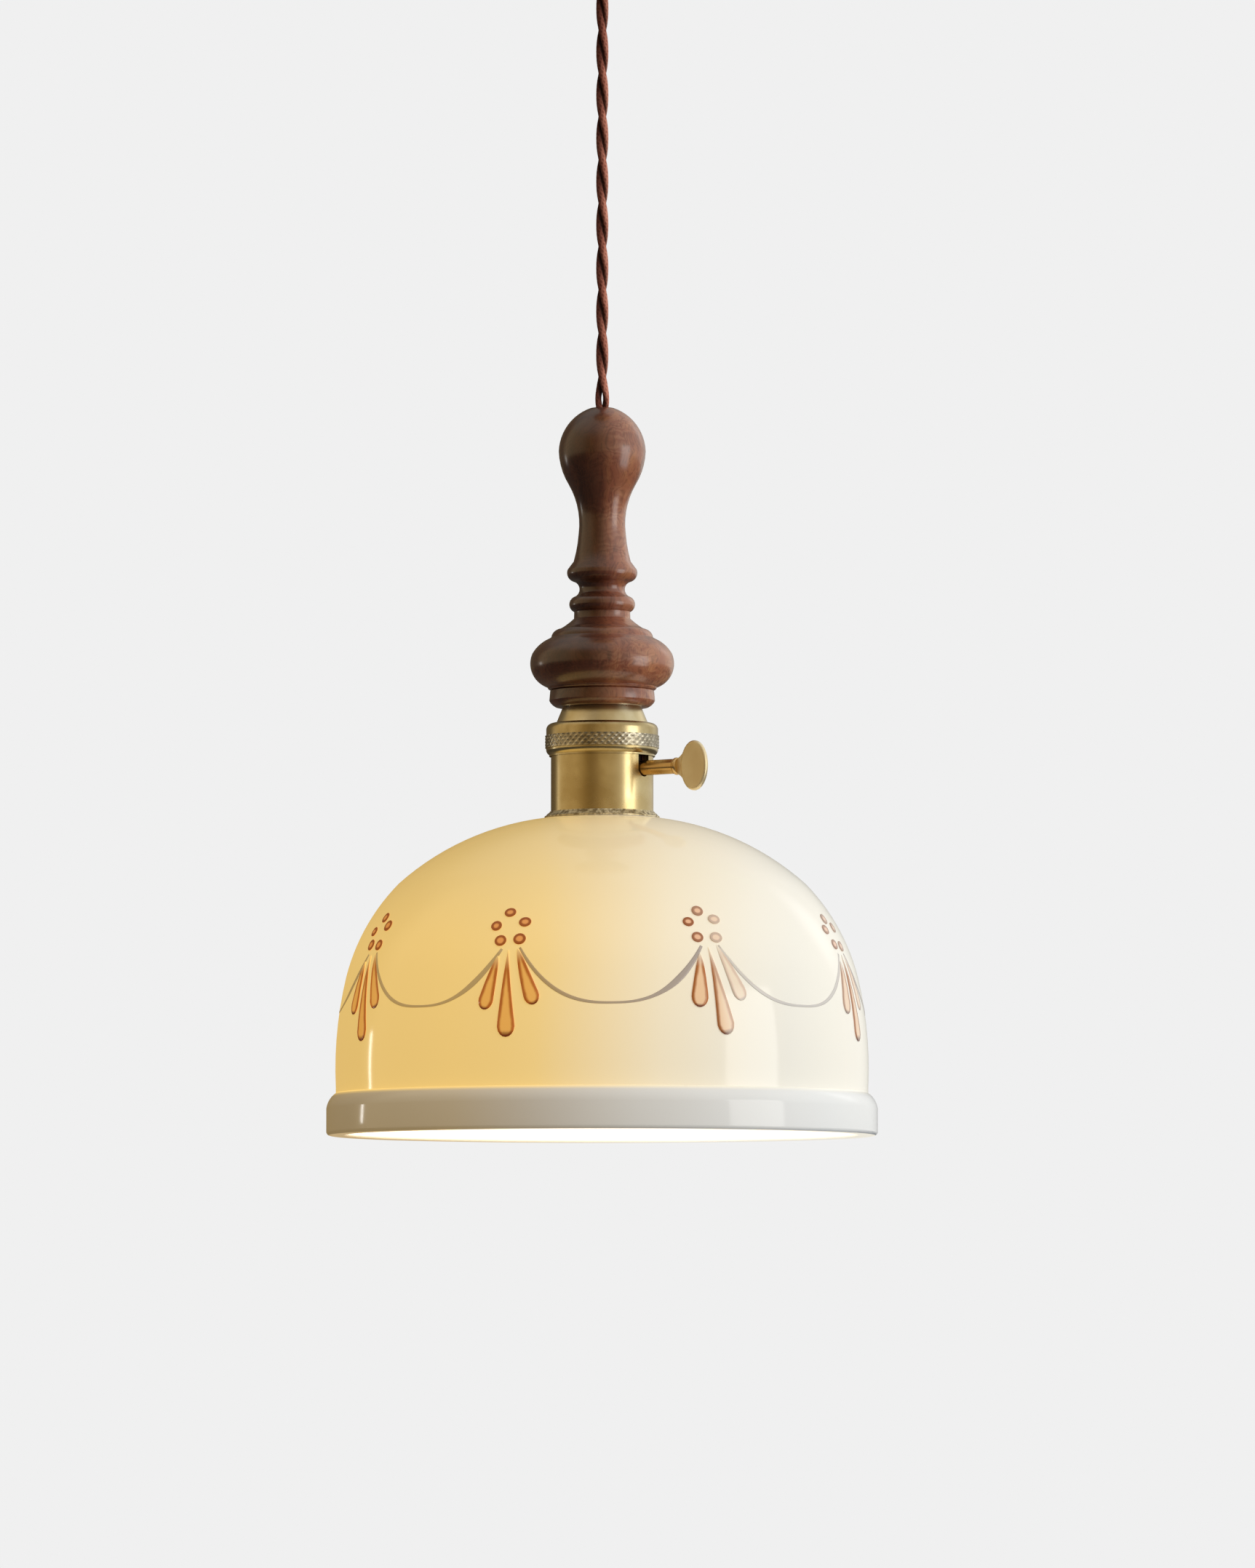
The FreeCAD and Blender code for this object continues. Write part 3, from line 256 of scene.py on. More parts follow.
cord_mesh = bmesh.new()
for half_turn in (0, math.pi):
    centres, outwards = [], []
    for station in stations:
        angle = TWIST_START + half_turn - math.tau * station.z / TWIST
        parting = SPREAD * math.exp(-((station.z - SPREAD_AT) / SPREAD_REACH) ** 2)
        outwards.append(Vector((math.cos(angle), math.sin(angle), 0)))
        centres.append(station + (STRAND_OFFSET + parting) * outwards[-1])
    swept(cord_mesh, centres, outwards, STRAND_WIDE, STRAND_THICK, 16)
twisted_cord = piece_from(cord_mesh, "twisted_cord", "cord", sharp_over=60)
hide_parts("pendant_cord")

# %% [markdown]
# Cotton braid over the wire has a matt, slightly fuzzy skin. Its real pitch of 0.5 mm is too fine to show,
# so the two diagonal waves that cross on the UV map are drawn at 1 mm. Sheen lifts the strands' edges as
# loose fibres do. The groove between the strands is painted shade in the braid's colour. The side towards
# +X is much paler in the window's light. That is more than the room here gives, so part of it is painted
# light in the colour of the braid, with painted shade on the other side.

# %% Braided cotton finish
braid, tree, shader = new_finish("braided_cotton", Roughness=0.82, Sheen_Weight=0.35, Sheen_Roughness=0.4,
                                 Specular_IOR_Level=0.3)
shader.inputs["Sheen Tint"].default_value = shade_of("D9A088")
BRAID_CELLS = 9              # around a strand of 9 mm
uv = add(tree, "UVMap").outputs["UV"]
leaning = [add(tree, "Mapping", {"Vector": uv, "Scale": (BRAID_CELLS * way, 0.75, 1)}).outputs["Vector"]
           for way in (1, -1)]
waves = [add(tree, "TexWave", {"Vector": lean, "Scale": 0.32, "Distortion": 0.6, "Detail": 1.0},
             wave_type="BANDS", bands_direction="DIAGONAL").outputs["Fac"] for lean in leaning]
plait = add(tree, "Math", {0: waves[0], 1: waves[1]}, operation="MAXIMUM").outputs[0]
place = add(tree, "TexCoord").outputs["Object"]
fluff = add(tree, "TexNoise", {"Vector": place, "Scale": 900.0, "Detail": 3.0}).outputs["Fac"]
patches = add(tree, "TexNoise", {"Vector": place, "Scale": 160.0, "Detail": 2.0}).outputs["Fac"]
thread = add(tree, "ValToRGB", {"Fac": plait}, stops=[
    (0.15, shade_of("743A2C")), (0.95, shade_of("BE7662")), (0.6, shade_of("A25C4A"))]).outputs["Color"]
worn = add(tree, "ValToRGB", {"Fac": patches}, stops=[
    (0.35, shade_of("8C4C3C")), (0.7, shade_of("BC7A66"))]).outputs["Color"]
mixed = add(tree, "Mix", {0: 0.45, 6: thread, 7: worn}, data_type="RGBA").outputs[2]
around = add(tree, "SeparateXYZ", {0: uv}).outputs["X"]
around = add(tree, "Math", {0: around, 1: math.tau}, operation="MULTIPLY").outputs[0]
outward = add(tree, "Math", {0: around}, operation="COSINE").outputs[0]
# Painted shade: each strand's colour darkens where it turns in towards the groove between the strands.
groove_shade = ramp_over(tree, outward, -1, 1, [
    (-0.5, (0.16, 0.12, 0.10)), (0.1, (0.62, 0.56, 0.54)), (0.7, (1, 1, 1))])
# Painted light and shade: the braid's colour is paler on the side towards +X and darker on the other.
painted_side_light = ramp_over(tree, way_about(tree, place), -180, 180, [
    (-180, (0.85, 0.74, 0.7)), (-20, (0.85, 0.74, 0.7)), (20, (1.6, 1.7, 1.7)), (75, (1.85, 2.3, 2.4)),
    (120, (1.6, 2.0, 2.1)), (180, (0.85, 0.74, 0.7))])
worked = add(tree, "Mix", {0: 1.0, 6: mixed, 7: painted_side_light}, data_type="RGBA", blend_type="MULTIPLY").outputs[2]
worked = add(tree, "Mix", {0: 1.0, 6: worked, 7: groove_shade}, data_type="RGBA", blend_type="MULTIPLY").outputs[2]
tree.links.new(worked, shader.inputs["Base Color"])
relief = add(tree, "Math", {0: plait, 1: fluff}, operation="ADD").outputs[0]
raised = add(tree, "Bump", {"Strength": 0.5, "Distance": 0.25 * MM, "Height": relief}).outputs["Normal"]
tree.links.new(raised, shader.inputs["Normal"])
twisted_cord.data.materials.append(braid)
print("finish:", braid.name)

# %% [markdown]
# ## Turned pieces
# The handle, the rings and the bell are round, so each is drawn as half a section and spun about the lamp's
# axis. A round run is given by its end and the point halfway along, as the CAD source gives it, and is cut
# into short steps. Sharp corners then get a fine bevel, because a real edge always catches a line of light.

# %% Arcs and sections
ARC_STEP = math.radians(6)


def arc(start, middle, end, finest=ARC_STEP):
    """Points after start on the arc through middle to end."""
    (ax, ay), (bx, by), (cx, cy) = start, middle, end
    double = 2 * (ax * (by - cy) + bx * (cy - ay) + cx * (ay - by))
    squares = [x * x + y * y for x, y in (start, middle, end)]
    across = (squares[0] * (by - cy) + squares[1] * (cy - ay) + squares[2] * (ay - by)) / double
    up = (squares[0] * (cx - bx) + squares[1] * (ax - cx) + squares[2] * (bx - ax)) / double
    radius = math.hypot(ax - across, ay - up)
    angles = [math.atan2(y - up, x - across) for x, y in (start, middle, end)]
    half = (angles[1] - angles[0] + math.pi) % math.tau - math.pi
    rest = (angles[2] - angles[1] + math.pi) % math.tau - math.pi
    steps = max(3, math.ceil(abs(half + rest) / finest))
    turns = [angles[0] + (half + rest) * step / steps for step in range(1, steps + 1)]
    return [(across + radius * math.cos(turn), up + radius * math.sin(turn)) for turn in turns]


def section(corners, finest=ARC_STEP):
    """A section's points: a corner is (across, up), with a middle point after it where its run is round."""
    points = [tuple(corners[0][:2])]
    for corner in corners[1:]:
        if len(corner) == 4:
            points += arc(points[-1], corner[2:], corner[:2], finest)
        else:
            points.append(tuple(corner))
    return points


print("an arc of 90 degrees gets", len(arc((1, 0), (0.7071, 0.7071), (0, 1))), "steps")

# %% [markdown]
# Blender's spin turns the section about the axis and, with use_merge, joins the last column to the first. A
# modifier could do it too, but then the sharp edges couldn't be picked by their angle for a bevel here.

# %% Spin a section
SHARP_EDGE = math.radians(30)


def spun(points, steps, edge=0.0):
    """Spins a closed section about the lamp's axis and bevels its sharp edges where edge is given."""
    bm = bmesh.new()
    line = [bm.verts.new((across, 0, up)) for across, up in points]
    loop = [bm.edges.new(pair) for pair in zip(line, line[1:] + line[:1])]
    bmesh.ops.spin(bm, geom=line + loop, cent=(0, 0, 0), axis=(0, 0, 1), dvec=(0, 0, 0), angle=math.tau,
                   steps=steps, use_merge=True)
    bmesh.ops.remove_doubles(bm, verts=bm.verts, dist=0.001 * MM)
    bmesh.ops.recalc_face_normals(bm, faces=bm.faces)
    if edge:
        sharp = [e for e in bm.edges if len(e.link_faces) == 2 and e.calc_face_angle() > SHARP_EDGE]
        bmesh.ops.bevel(bm, geom=sharp, offset=edge, segments=2, profile=0.5, affect="EDGES", material=-1,
                        clamp_overlap=True)
    return bm


trial = spun([(1, 0), (2, 0), (2, 1), (1, 1)], 12)
print("a square spun in 12 steps has", len(trial.faces), "faces")
trial.free()

# %% [markdown]
# ## The turned handle
# The handle is a stick of beech, turned on a lathe and stained a dark reddish brown under a satin lacquer.
# The grain runs up the stick, so the pattern is stretched along Z and the turned forms cut through it. The
# numbers are shares of the handle's largest radius and height, as in the CAD source.

# %% Handle
HANDLE_FOOT, HANDLE_TOP = -0.337, -0.216
HANDLE_RADIUS, HANDLE_HEIGHT = 29.0 * MM, HANDLE_TOP - HANDLE_FOOT
CORD_BORE = 3.4 * MM
MOUTH_RADIUS, MOUTH_DEPTH = 4.7 * MM, 5.0 * MM
SOCKET_RADIUS, SOCKET_DEPTH = 7.05 * MM, 12.05 * MM
HANDLE_SHARES = [
    (0.647, 0.0000), (0.734, 0.0205, 0.709, 0.0115), (0.722, 0.0530), (0.700, 0.0575),
    (0.759, 0.0660, 0.750, 0.0605), (0.970, 0.1777, 0.911, 0.0895), (0.745, 0.2262, 0.933, 0.1910),
    (0.707, 0.2317), (0.589, 0.2593, 0.685, 0.2462), (0.392, 0.2946, 0.444, 0.2835), (0.389, 0.3176),
    (0.397, 0.3666, 0.457, 0.3431), (0.397, 0.4195, 0.316, 0.3917), (0.479, 0.4594, 0.487, 0.4436),
    (0.397, 0.4859), (0.328, 0.5794, 0.365, 0.5169), (0.467, 0.7446, 0.354, 0.6778),
    (0.605, 0.8553, 0.550, 0.7863)]
BALL_TOP = (0.501, 0.9358)


def scaled(shares, radius, height, foot):
    """Turns rows of shares into corners of a section in metres."""
    return [tuple(share * radius if place % 2 == 0 else foot + share * height
                  for place, share in enumerate(row)) for row in shares]


corners = scaled(HANDLE_SHARES, HANDLE_RADIUS, HANDLE_HEIGHT, HANDLE_FOOT)
ball_top = scaled([BALL_TOP], HANDLE_RADIUS, HANDLE_HEIGHT, HANDLE_FOOT)[0]
corners += [(MOUTH_RADIUS, HANDLE_TOP, *ball_top), (CORD_BORE, HANDLE_TOP - MOUTH_DEPTH),
            (CORD_BORE, HANDLE_FOOT + SOCKET_DEPTH), (SOCKET_RADIUS, HANDLE_FOOT + SOCKET_DEPTH),
            (SOCKET_RADIUS, HANDLE_FOOT)]
handle = piece_from(spun(section(corners), 128, edge=0.25 * MM), "turned_handle", "lamp",
                    sharp_over=50)
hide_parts("wood_handle")

# %% [markdown]
# Stained beech shows three things: slow drifts of light and dark, fine dark pores a few millimetres long,
# and a curly figure of paler ripples across the grain, about 2 mm apart. A wood texture of rings alone
# looks like a toy, so the drift is a noise stretched up the stick, the pores are a finer one, and the
# ripples are a wave that shows in patches. The same curl bends them all. A small dark knot sits high on the
# front. The side towards +X is paler in the window's light, and part of that is painted light in the
# stain's colour here, as on the cord, with painted shade on the other side.
# Lacquer is the shader's coat.

# %% Stained beech finish
wood, tree, shader = new_finish("stained_beech", Specular_IOR_Level=0.3, Coat_Weight=1.0, Coat_IOR=1.6,
                                Coat_Roughness=0.20)
place = add(tree, "TexCoord").outputs["Object"]
curl = add(tree, "TexNoise", {"Vector": place, "Scale": 55.0, "Detail": 2.0}).outputs["Color"]
bent = add(tree, "Mix", {0: 0.018, 4: place, 5: curl}, data_type="VECTOR").outputs[1]
upright = add(tree, "Mapping", {"Vector": bent, "Scale": (1, 1, 0.14)}).outputs["Vector"]
drift = add(tree, "TexNoise", {"Vector": upright, "Scale": 90.0, "Detail": 5.0, "Roughness": 0.6,
                               "Distortion": 0.8}).outputs["Fac"]
stain = add(tree, "ValToRGB", {"Fac": drift}, stops=[
    (0.28, shade_of("5E2E20")), (0.78, shade_of("A0663E")), (0.5, shade_of("80462E"))]).outputs["Color"]
ripples = add(tree, "TexWave", {"Vector": bent, "Scale": 140.0, "Distortion": 9.0, "Detail": 3.0,
                                "Detail Scale": 1.6}, wave_type="BANDS", bands_direction="Z").outputs["Fac"]
where = add(tree, "TexNoise", {"Vector": place, "Scale": 70.0, "Detail": 1.0}).outputs["Fac"]
figured = add(tree, "MapRange", {"Value": where, "From Min": 0.42, "From Max": 0.70,
                                 "To Max": 0.22}).outputs["Result"]
rippled = add(tree, "Math", {0: ripples, 1: figured}, operation="MULTIPLY").outputs[0]
lighter = add(tree, "Mix", {0: rippled, 6: stain, 7: shade_of("BC8660")}, data_type="RGBA").outputs[2]
pore_lie = add(tree, "Mapping", {"Vector": bent, "Scale": (1, 1, 0.06)}).outputs["Vector"]
pores = add(tree, "TexNoise", {"Vector": pore_lie, "Scale": 950.0, "Detail": 2.0}).outputs["Fac"]
pore_dark = add(tree, "ValToRGB", {"Fac": pores}, stops=[
    (0.34, shade_of("BCB3AD")), (0.5, shade_of("FFFFFF"))]).outputs["Color"]
grained = add(tree, "Mix", {0: 0.6, 6: lighter, 7: pore_dark}, data_type="RGBA",
              blend_type="MULTIPLY").outputs[2]
KNOT_PLACE, KNOT_EDGE, KNOT_CORE = (8.5 * MM, -14.5 * MM, -233 * MM), 0.9 * MM, 0.4 * MM
from_knot = add(tree, "VectorMath", {0: place, 1: KNOT_PLACE}, operation="SUBTRACT").outputs[0]
knot_shape = add(tree, "Mapping", {"Vector": from_knot, "Scale": (1, 1, 0.55)}).outputs["Vector"]
knot_far = add(tree, "VectorMath", {0: knot_shape}, operation="LENGTH").outputs["Value"]
knot = add(tree, "MapRange", {"Value": knot_far, "From Min": KNOT_EDGE,
                              "From Max": KNOT_CORE}).outputs["Result"]
knotted = add(tree, "Mix", {0: knot, 6: grained, 7: shade_of("24100C")}, data_type="RGBA").outputs[2]
# Painted light and shade: the stain is paler on the side towards +X and darker on the other.
painted_side_light = ramp_over(tree, way_about(tree, place), -180, 180, [
    (-180, (0.72, 0.69, 0.67)), (-70, (0.62, 0.59, 0.57)), (-16, (0.52, 0.49, 0.47)),
    (0, (0.78, 0.76, 0.76)), (14, (1.5, 1.6, 1.7)), (36, (1.75, 2.0, 2.1)), (75, (2.0, 2.4, 2.55)),
    (125, (1.6, 1.95, 2.1)), (180, (0.72, 0.69, 0.67))])
turned_tone = add(tree, "Mix", {0: 1.0, 6: knotted, 7: painted_side_light}, data_type="RGBA",
                  blend_type="MULTIPLY").outputs[2]
tree.links.new(turned_tone, shader.inputs["Base Color"])
sunk = add(tree, "Bump", {"Strength": 0.2, "Distance": 0.1 * MM, "Height": pores}).outputs["Normal"]
tree.links.new(sunk, shader.inputs["Normal"])
gloss = add(tree, "MapRange", {"Value": drift, "To Min": 0.36, "To Max": 0.48}).outputs["Result"]
tree.links.new(gloss, shader.inputs["Roughness"])
handle.data.materials.append(wood)
print("finish:", wood.name)

# %% [markdown]
# ## Rings with a knurl
# The ring that clamps the lamp holder has a round shoulder, a band of diamond knurling and a foot. A bump
# map would leave its outline smooth, so the knurl is real: the band is spun with four columns to a diamond,
# and its vertices are sunk where two families of slanting V-grooves cross.

# %% Sink a knurl
def groove(turns):
    """How high the surface stands across a V-groove: 0 in its bottom, 1 on the ridge."""
    return abs(2 * (turns % 1) - 1)


def knurl(bm, low, high, count, rows, depth, reach):
    """Sinks crossing V-grooves between two heights, in vertices at most reach inside the outermost."""
    outer = max(math.hypot(v.co.x, v.co.y) for v in bm.verts)
    for v in bm.verts:
        across = math.hypot(v.co.x, v.co.y)
        if not low < v.co.z < high or across < outer - reach:
            continue
        way = math.atan2(v.co.y, v.co.x) / math.tau * count
        climb = (v.co.z - low) / (high - low)
        ridge = min(groove(way + climb * rows / 2), groove(way - climb * rows / 2))
        shrink = 1 - depth * (1 - ridge) / across
        v.co.x *= shrink
        v.co.y *= shrink


def rows_between(across_low, low, across_high, high, count):
    """Even points on a straight run, its end included and its start left out."""
    return [(across_low + (across_high - across_low) * row / count, low + (high - low) * row / count)
            for row in range(1, count + 1)]


print("three rows on a straight run:", rows_between(1, 0, 1, 3, 3))

# %% Knurled ring
RING_TOP, RING_FOOT = -343.7 * MM, -357.1 * MM
KNURL_HIGH, KNURL_LOW = -348.7 * MM, -353.7 * MM
RING_RADIUS, KNURL_STEP = 23.0 * MM, 0.5 * MM
RING_PLAIN = RING_RADIUS - KNURL_STEP
points = section([
    (20.9 * MM, RING_FOOT), (21.3 * MM, RING_FOOT), (21.3 * MM, RING_FOOT + 0.7 * MM),
    (RING_PLAIN, KNURL_LOW, 22.15 * MM, -355.6 * MM), (RING_RADIUS, KNURL_LOW)])
points += rows_between(RING_RADIUS, KNURL_LOW, RING_RADIUS, KNURL_HIGH, 12)
points += section([
    (RING_PLAIN, KNURL_HIGH), (RING_PLAIN, RING_TOP - 2.4 * MM),
    (19.8 * MM, RING_TOP, 21.71 * MM, -344.40 * MM), (18.95 * MM, RING_TOP),
    (18.95 * MM, RING_TOP - 0.9 * MM), (20.9 * MM, RING_TOP - 0.9 * MM)])
DIAMONDS = 54
ring_mesh = spun(points, DIAMONDS * 4)
knurl(ring_mesh, KNURL_LOW - 0.01 * MM, KNURL_HIGH + 0.01 * MM, DIAMONDS, 4, 0.36 * MM, reach=0.2 * MM)
PLAIN_FACE, KNURLED_FACE = range(2)
for face in ring_mesh.faces:
    middle = face.calc_center_median()
    if KNURL_LOW < middle.z < KNURL_HIGH and math.hypot(middle.x, middle.y) > RING_PLAIN - 0.1 * MM:
        face.material_index = KNURLED_FACE
clamp_ring = piece_from(ring_mesh, "clamp_ring", "lamp", sharp_over=28)
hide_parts("knurled_ring")

# %% [markdown]
# A thin sloping ring holds the shade from above. Its slope is milled with small diamonds, which show as a
# rough bright line where shell and shade meet. They are made as the knurl above, only finer.

# %% Ring on the shade's top
TOP_RING_HIGH, TOP_RING_FOOT, TOP_DIAMONDS = -379.3 * MM, -381.8 * MM, 84
points = [(20.3 * MM, TOP_RING_FOOT), (23.2 * MM, TOP_RING_FOOT), (23.2 * MM, TOP_RING_FOOT + 0.5 * MM)]
points += rows_between(23.2 * MM, TOP_RING_FOOT + 0.5 * MM, 21.0 * MM, TOP_RING_HIGH, 8)
points.append((20.3 * MM, TOP_RING_HIGH))
ring_mesh = spun(points, TOP_DIAMONDS * 4)
knurl(ring_mesh, TOP_RING_FOOT + 0.52 * MM, TOP_RING_HIGH - 0.1 * MM, TOP_DIAMONDS, 2, 0.35 * MM,
      reach=2.15 * MM)
seat_ring = piece_from(ring_mesh, "seat_ring", "lamp", sharp_over=28)
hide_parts("shade_top_ring")

# %% [markdown]
# ## Brass
# The lamp holder is drawn brass tube, brushed round and left to mellow: warm, satin, with slightly browner
# patches where hands don't reach. The knurl's worn points are paler, almost silver. The pieces differ in
# tone, roughness and grain only, so one maker gives them all. The brushing lines are 0.05 mm apart on the
# real tube and are drawn at 0.4 mm, as fine as shows here.

# %% A maker of brass
def brass(name, bright, mellow, rough, brushed=0.0, pitted=0.0, lacquer=0.0, darker_in_grooves=None, flecks=0.0):
    """Brass between two tones, with lines round the axis or a casting's pits, and darker towards the
    bottoms of its grooves.
    """
    material, tree, shader = new_finish(name, Metallic=1.0 - lacquer)
    place = add(tree, "TexCoord").outputs["Object"]
    tarnish = add(tree, "TexNoise", {"Vector": place, "Scale": 95.0, "Detail": 4.0}).outputs["Fac"]
    tone = add(tree, "ValToRGB", {"Fac": tarnish}, stops=[
        (0.35, shade_of(mellow)), (0.65, shade_of(bright))]).outputs["Color"]
    if flecks:
        speckle = add(tree, "TexNoise", {"Vector": place, "Scale": 620.0, "Detail": 2.0}).outputs["Fac"]
        fleck = add(tree, "ValToRGB", {"Fac": speckle}, stops=[
            (0.38, shade_of("958B7C")), (0.6, shade_of("FFFFFF"))]).outputs["Color"]
        tone = add(tree, "Mix", {0: flecks, 6: tone, 7: fleck}, data_type="RGBA",
                   blend_type="MULTIPLY").outputs[2]
    # The colour darkens towards the bottoms of the grooves, between the given radii.
    if darker_in_grooves:
        flat = add(tree, "VectorMath", {0: place, 1: (1, 1, 0)}, operation="MULTIPLY").outputs[0]
        out = add(tree, "VectorMath", {0: flat}, operation="LENGTH").outputs["Value"]
        out_of_groove = add(tree, "MapRange", {"Value": out, "From Min": darker_in_grooves[0],
                                       "From Max": darker_in_grooves[1]}).outputs["Result"]
        tone = add(tree, "Mix", {0: out_of_groove, 6: shade_of("6E6650"), 7: tone}, data_type="RGBA").outputs[2]
    tree.links.new(tone, shader.inputs["Base Color"])
    if brushed:
        round_lie = add(tree, "Mapping", {"Vector": place, "Scale": (0.04, 0.04, 1)}).outputs["Vector"]
        worked = add(tree, "TexNoise", {"Vector": round_lie, "Scale": 2500.0, "Detail": 2.0}).outputs["Fac"]
    else:
        worked = add(tree, "TexNoise", {"Vector": place, "Scale": 1500.0, "Detail": 2.0}).outputs["Fac"]
    skin = add(tree, "Bump", {"Strength": max(brushed, pitted), "Distance": 0.05 * MM,
                              "Height": worked}).outputs["Normal"]
    tree.links.new(skin, shader.inputs["Normal"])
    rubbed = add(tree, "MapRange", {"Value": tarnish, "From Min": 0.3, "From Max": 0.7,
                                    "To Min": rough + 0.05, "To Max": rough - 0.03}).outputs["Result"]
    tree.links.new(rubbed, shader.inputs["Roughness"])
    return material


shell_brass = brass("brushed_brass", "DAC898", "CCB682", 0.25, brushed=0.08)
print("brushed brass is made of", len(shell_brass.node_tree.nodes), "nodes")

# %% Give out the brass
def dress(material, *names):
    """Gives CAD nodes or pieces one finish in all their slots."""
    for name in names:
        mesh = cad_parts[name].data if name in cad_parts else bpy.data.objects[name].data
        if not mesh.materials:
            mesh.materials.append(material)
        for slot in range(len(mesh.materials)):
            mesh.materials[slot] = material


dress(shell_brass, "holder_shell")
dress(brass("polished_brass", "F0E6C4", "DCCCA0", 0.28, brushed=0.08), "holder_cap")
dress(brass("turned_ring_brass", "DCCCA0", "B8A474", 0.24, pitted=0.2), "clamp_ring")
clamp_ring.data.materials.append(brass("knurled_brass", "FFF8E6", "D8CEB4", 0.28, pitted=0.5, flecks=0.6,
                                       darker_in_grooves=(RING_RADIUS - 0.45 * MM, RING_RADIUS - 0.1 * MM)))
dress(brass("worn_ring_brass", "FFF4D4", "E0D0A4", 0.40, pitted=0.6, lacquer=0.4, flecks=0.9), "seat_ring")
dress(brass("cast_brass", "FFF0C8", "F8E4B8", 0.38, pitted=0.3, lacquer=0.2), "turn_key")
dress(brass("turned_brass", "E8C890", "D8B070", 0.24, pitted=0.1), "switch_stem", "key_collar")
dress(brass("spun_brass", "D8BA82", "C8A66C", 0.22, brushed=0.15), "ceiling_cup", "cord_grip",
      "shade_under_ring", "threaded_insert")
dress(brass("screw_brass", "D4B478", "B08E54", 0.33, pitted=0.3), "cup_screws", "terminal_screws",
      "binding_screws", "screw_shell", "centre_contact")
print("brass finishes:", len([m for m in bpy.data.materials if "brass" in m.name]))

# %% [markdown]
# ## The ceramic bell
# The shade is slip-cast ceramic: a wide bell with a thick band round its mouth, glazed white and warm where
# the lamp shines through. Its outline is three arcs, and the band has a soft shoulder. Spun finely, it
# keeps a clean edge against the pale background, where a coarse one would show corners. The glaze runs over
# the dome and the band alike, so they share one finish, and the lit inside has another.

# %% Section of the bell
SHADE_FOOT, SHADE_TOP = -509.5 * MM, -382.3 * MM
SHADE_RADIUS, SHADE_HEIGHT = 106.7 * MM, SHADE_TOP - SHADE_FOOT
WALL, NECK, LAND = 4.2 * MM, 5.0 * MM, 4.2 * MM
HOLE_RADIUS, SEAT_RADIUS = 20.8 * MM, 29.5 * MM
BAND_STEP, BAND_TOP = 3.8 * MM, SHADE_FOOT + 17.0 * MM
BAND_RADIUS = SHADE_RADIUS + BAND_STEP
BAND_ROUND, RIM_ROUND = 6.2 * MM, 1.6 * MM
DOME_SHARES = [(0.767, 0.793, 0.540, 0.922), (0.962, 0.500, 0.883, 0.664), (1.000, 0.151, 0.990, 0.371)]
SHOULDER_SHARES = (0.33, 0.43)      # the shoulder's middle: in from the band's face, down from its top
CORNER = 1 - math.sqrt(0.5)         # how far in a quarter round's middle lies, in radii
FINE = math.radians(2.5)

outer_dome = section([(HOLE_RADIUS + LAND, SHADE_TOP)]
                     + scaled(DOME_SHARES, SHADE_RADIUS, SHADE_HEIGHT, SHADE_FOOT)
                     + [(SHADE_RADIUS, BAND_TOP)], FINE)
inner_dome = section([(SEAT_RADIUS, SHADE_TOP - NECK)]
                     + scaled(DOME_SHARES, SHADE_RADIUS - WALL, SHADE_HEIGHT - WALL, SHADE_FOOT)
                     + [(SHADE_RADIUS - WALL, SHADE_FOOT + RIM_ROUND)], FINE)
INNER_FOOT = SHADE_RADIUS - WALL + RIM_ROUND
band = [(BAND_RADIUS, BAND_TOP - BAND_ROUND,
         BAND_RADIUS - BAND_STEP * SHOULDER_SHARES[0], BAND_TOP - BAND_ROUND * SHOULDER_SHARES[1]),
        (BAND_RADIUS, SHADE_FOOT + RIM_ROUND),
        (BAND_RADIUS - RIM_ROUND, SHADE_FOOT,
         BAND_RADIUS - RIM_ROUND * CORNER, SHADE_FOOT + RIM_ROUND * CORNER),
        (INNER_FOOT, SHADE_FOOT),
        (SHADE_RADIUS - WALL, SHADE_FOOT + RIM_ROUND,
         INNER_FOOT - RIM_ROUND * (1 - CORNER), SHADE_FOOT + RIM_ROUND * CORNER)]
points = [(HOLE_RADIUS, SHADE_TOP)] + outer_dome
points += section([points[-1]] + band, math.radians(8))[1:]
points += inner_dome[::-1][1:] + [(HOLE_RADIUS, SHADE_TOP - NECK)]
print("the bell's section has", len(points), "points")

# %% Spin the bell
bell_mesh = spun(points, 192)
OUTSIDE, INSIDE = range(2)
for face in bell_mesh.faces:
    middle = face.calc_center_median()
    across = math.hypot(middle.x, middle.y)
    outward = face.normal.x * middle.x + face.normal.y * middle.y
    if across < HOLE_RADIUS + 0.1 * MM or face.normal.z < -0.9 or outward < 0:
        face.material_index = INSIDE
bell = piece_from(bell_mesh, "glazed_bell", "shade", sharp_over=50)
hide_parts("ceramic_shade")

# %% [markdown]
# The glaze is glossy glass over white clay. Lamplight comes through the wall: in the photo it glows
# honey-coloured on the side that daylight doesn't reach, and is washed out to cream on the key's side. A
# subsurface shader would need the whole lamp's light traced through the wall, which is slow and noisy. Here
# the glow is painted light, an emission, and both it and the glaze's base colour change across the bell on
# Object coordinates: painted light and shade of the window's side, which stays on the bell under other
# light. The thick band is whiter and lets less light through; its glow is painted light too, and its glaze
# melts into the dome's over a few millimetres.

# %% Tones of the glaze, by millimetres across the bell
BELL_REACH = 112
GLOW_DIM_FROM, GLOW_FULL_FROM, GLOW_DIM = -385.0 * MM, -440.0 * MM, 0.70      # the dome's top glows less
BAND_GLAZE_FROM, BAND_GLAZE_TO = -492.3 * MM, -494.3 * MM
# Painted light: the dome's base colour and glow change across the bell for the window's side, and the
# band's glow is painted light too.
DOME_BASE_AND_SIDE_LIGHT = [(-60, "EBD7A2"), (0, "F0E2C2"), (60, "F3EDDF")]
DOME_GLOW = [(-60, "D4AF61"), (-25, "CDAA5D"), (25, "AFA286"), (75, "818481")]
BAND_GLOW = [(-60, "7C6538"), (15, "736F69"), (90, "5D656F")]


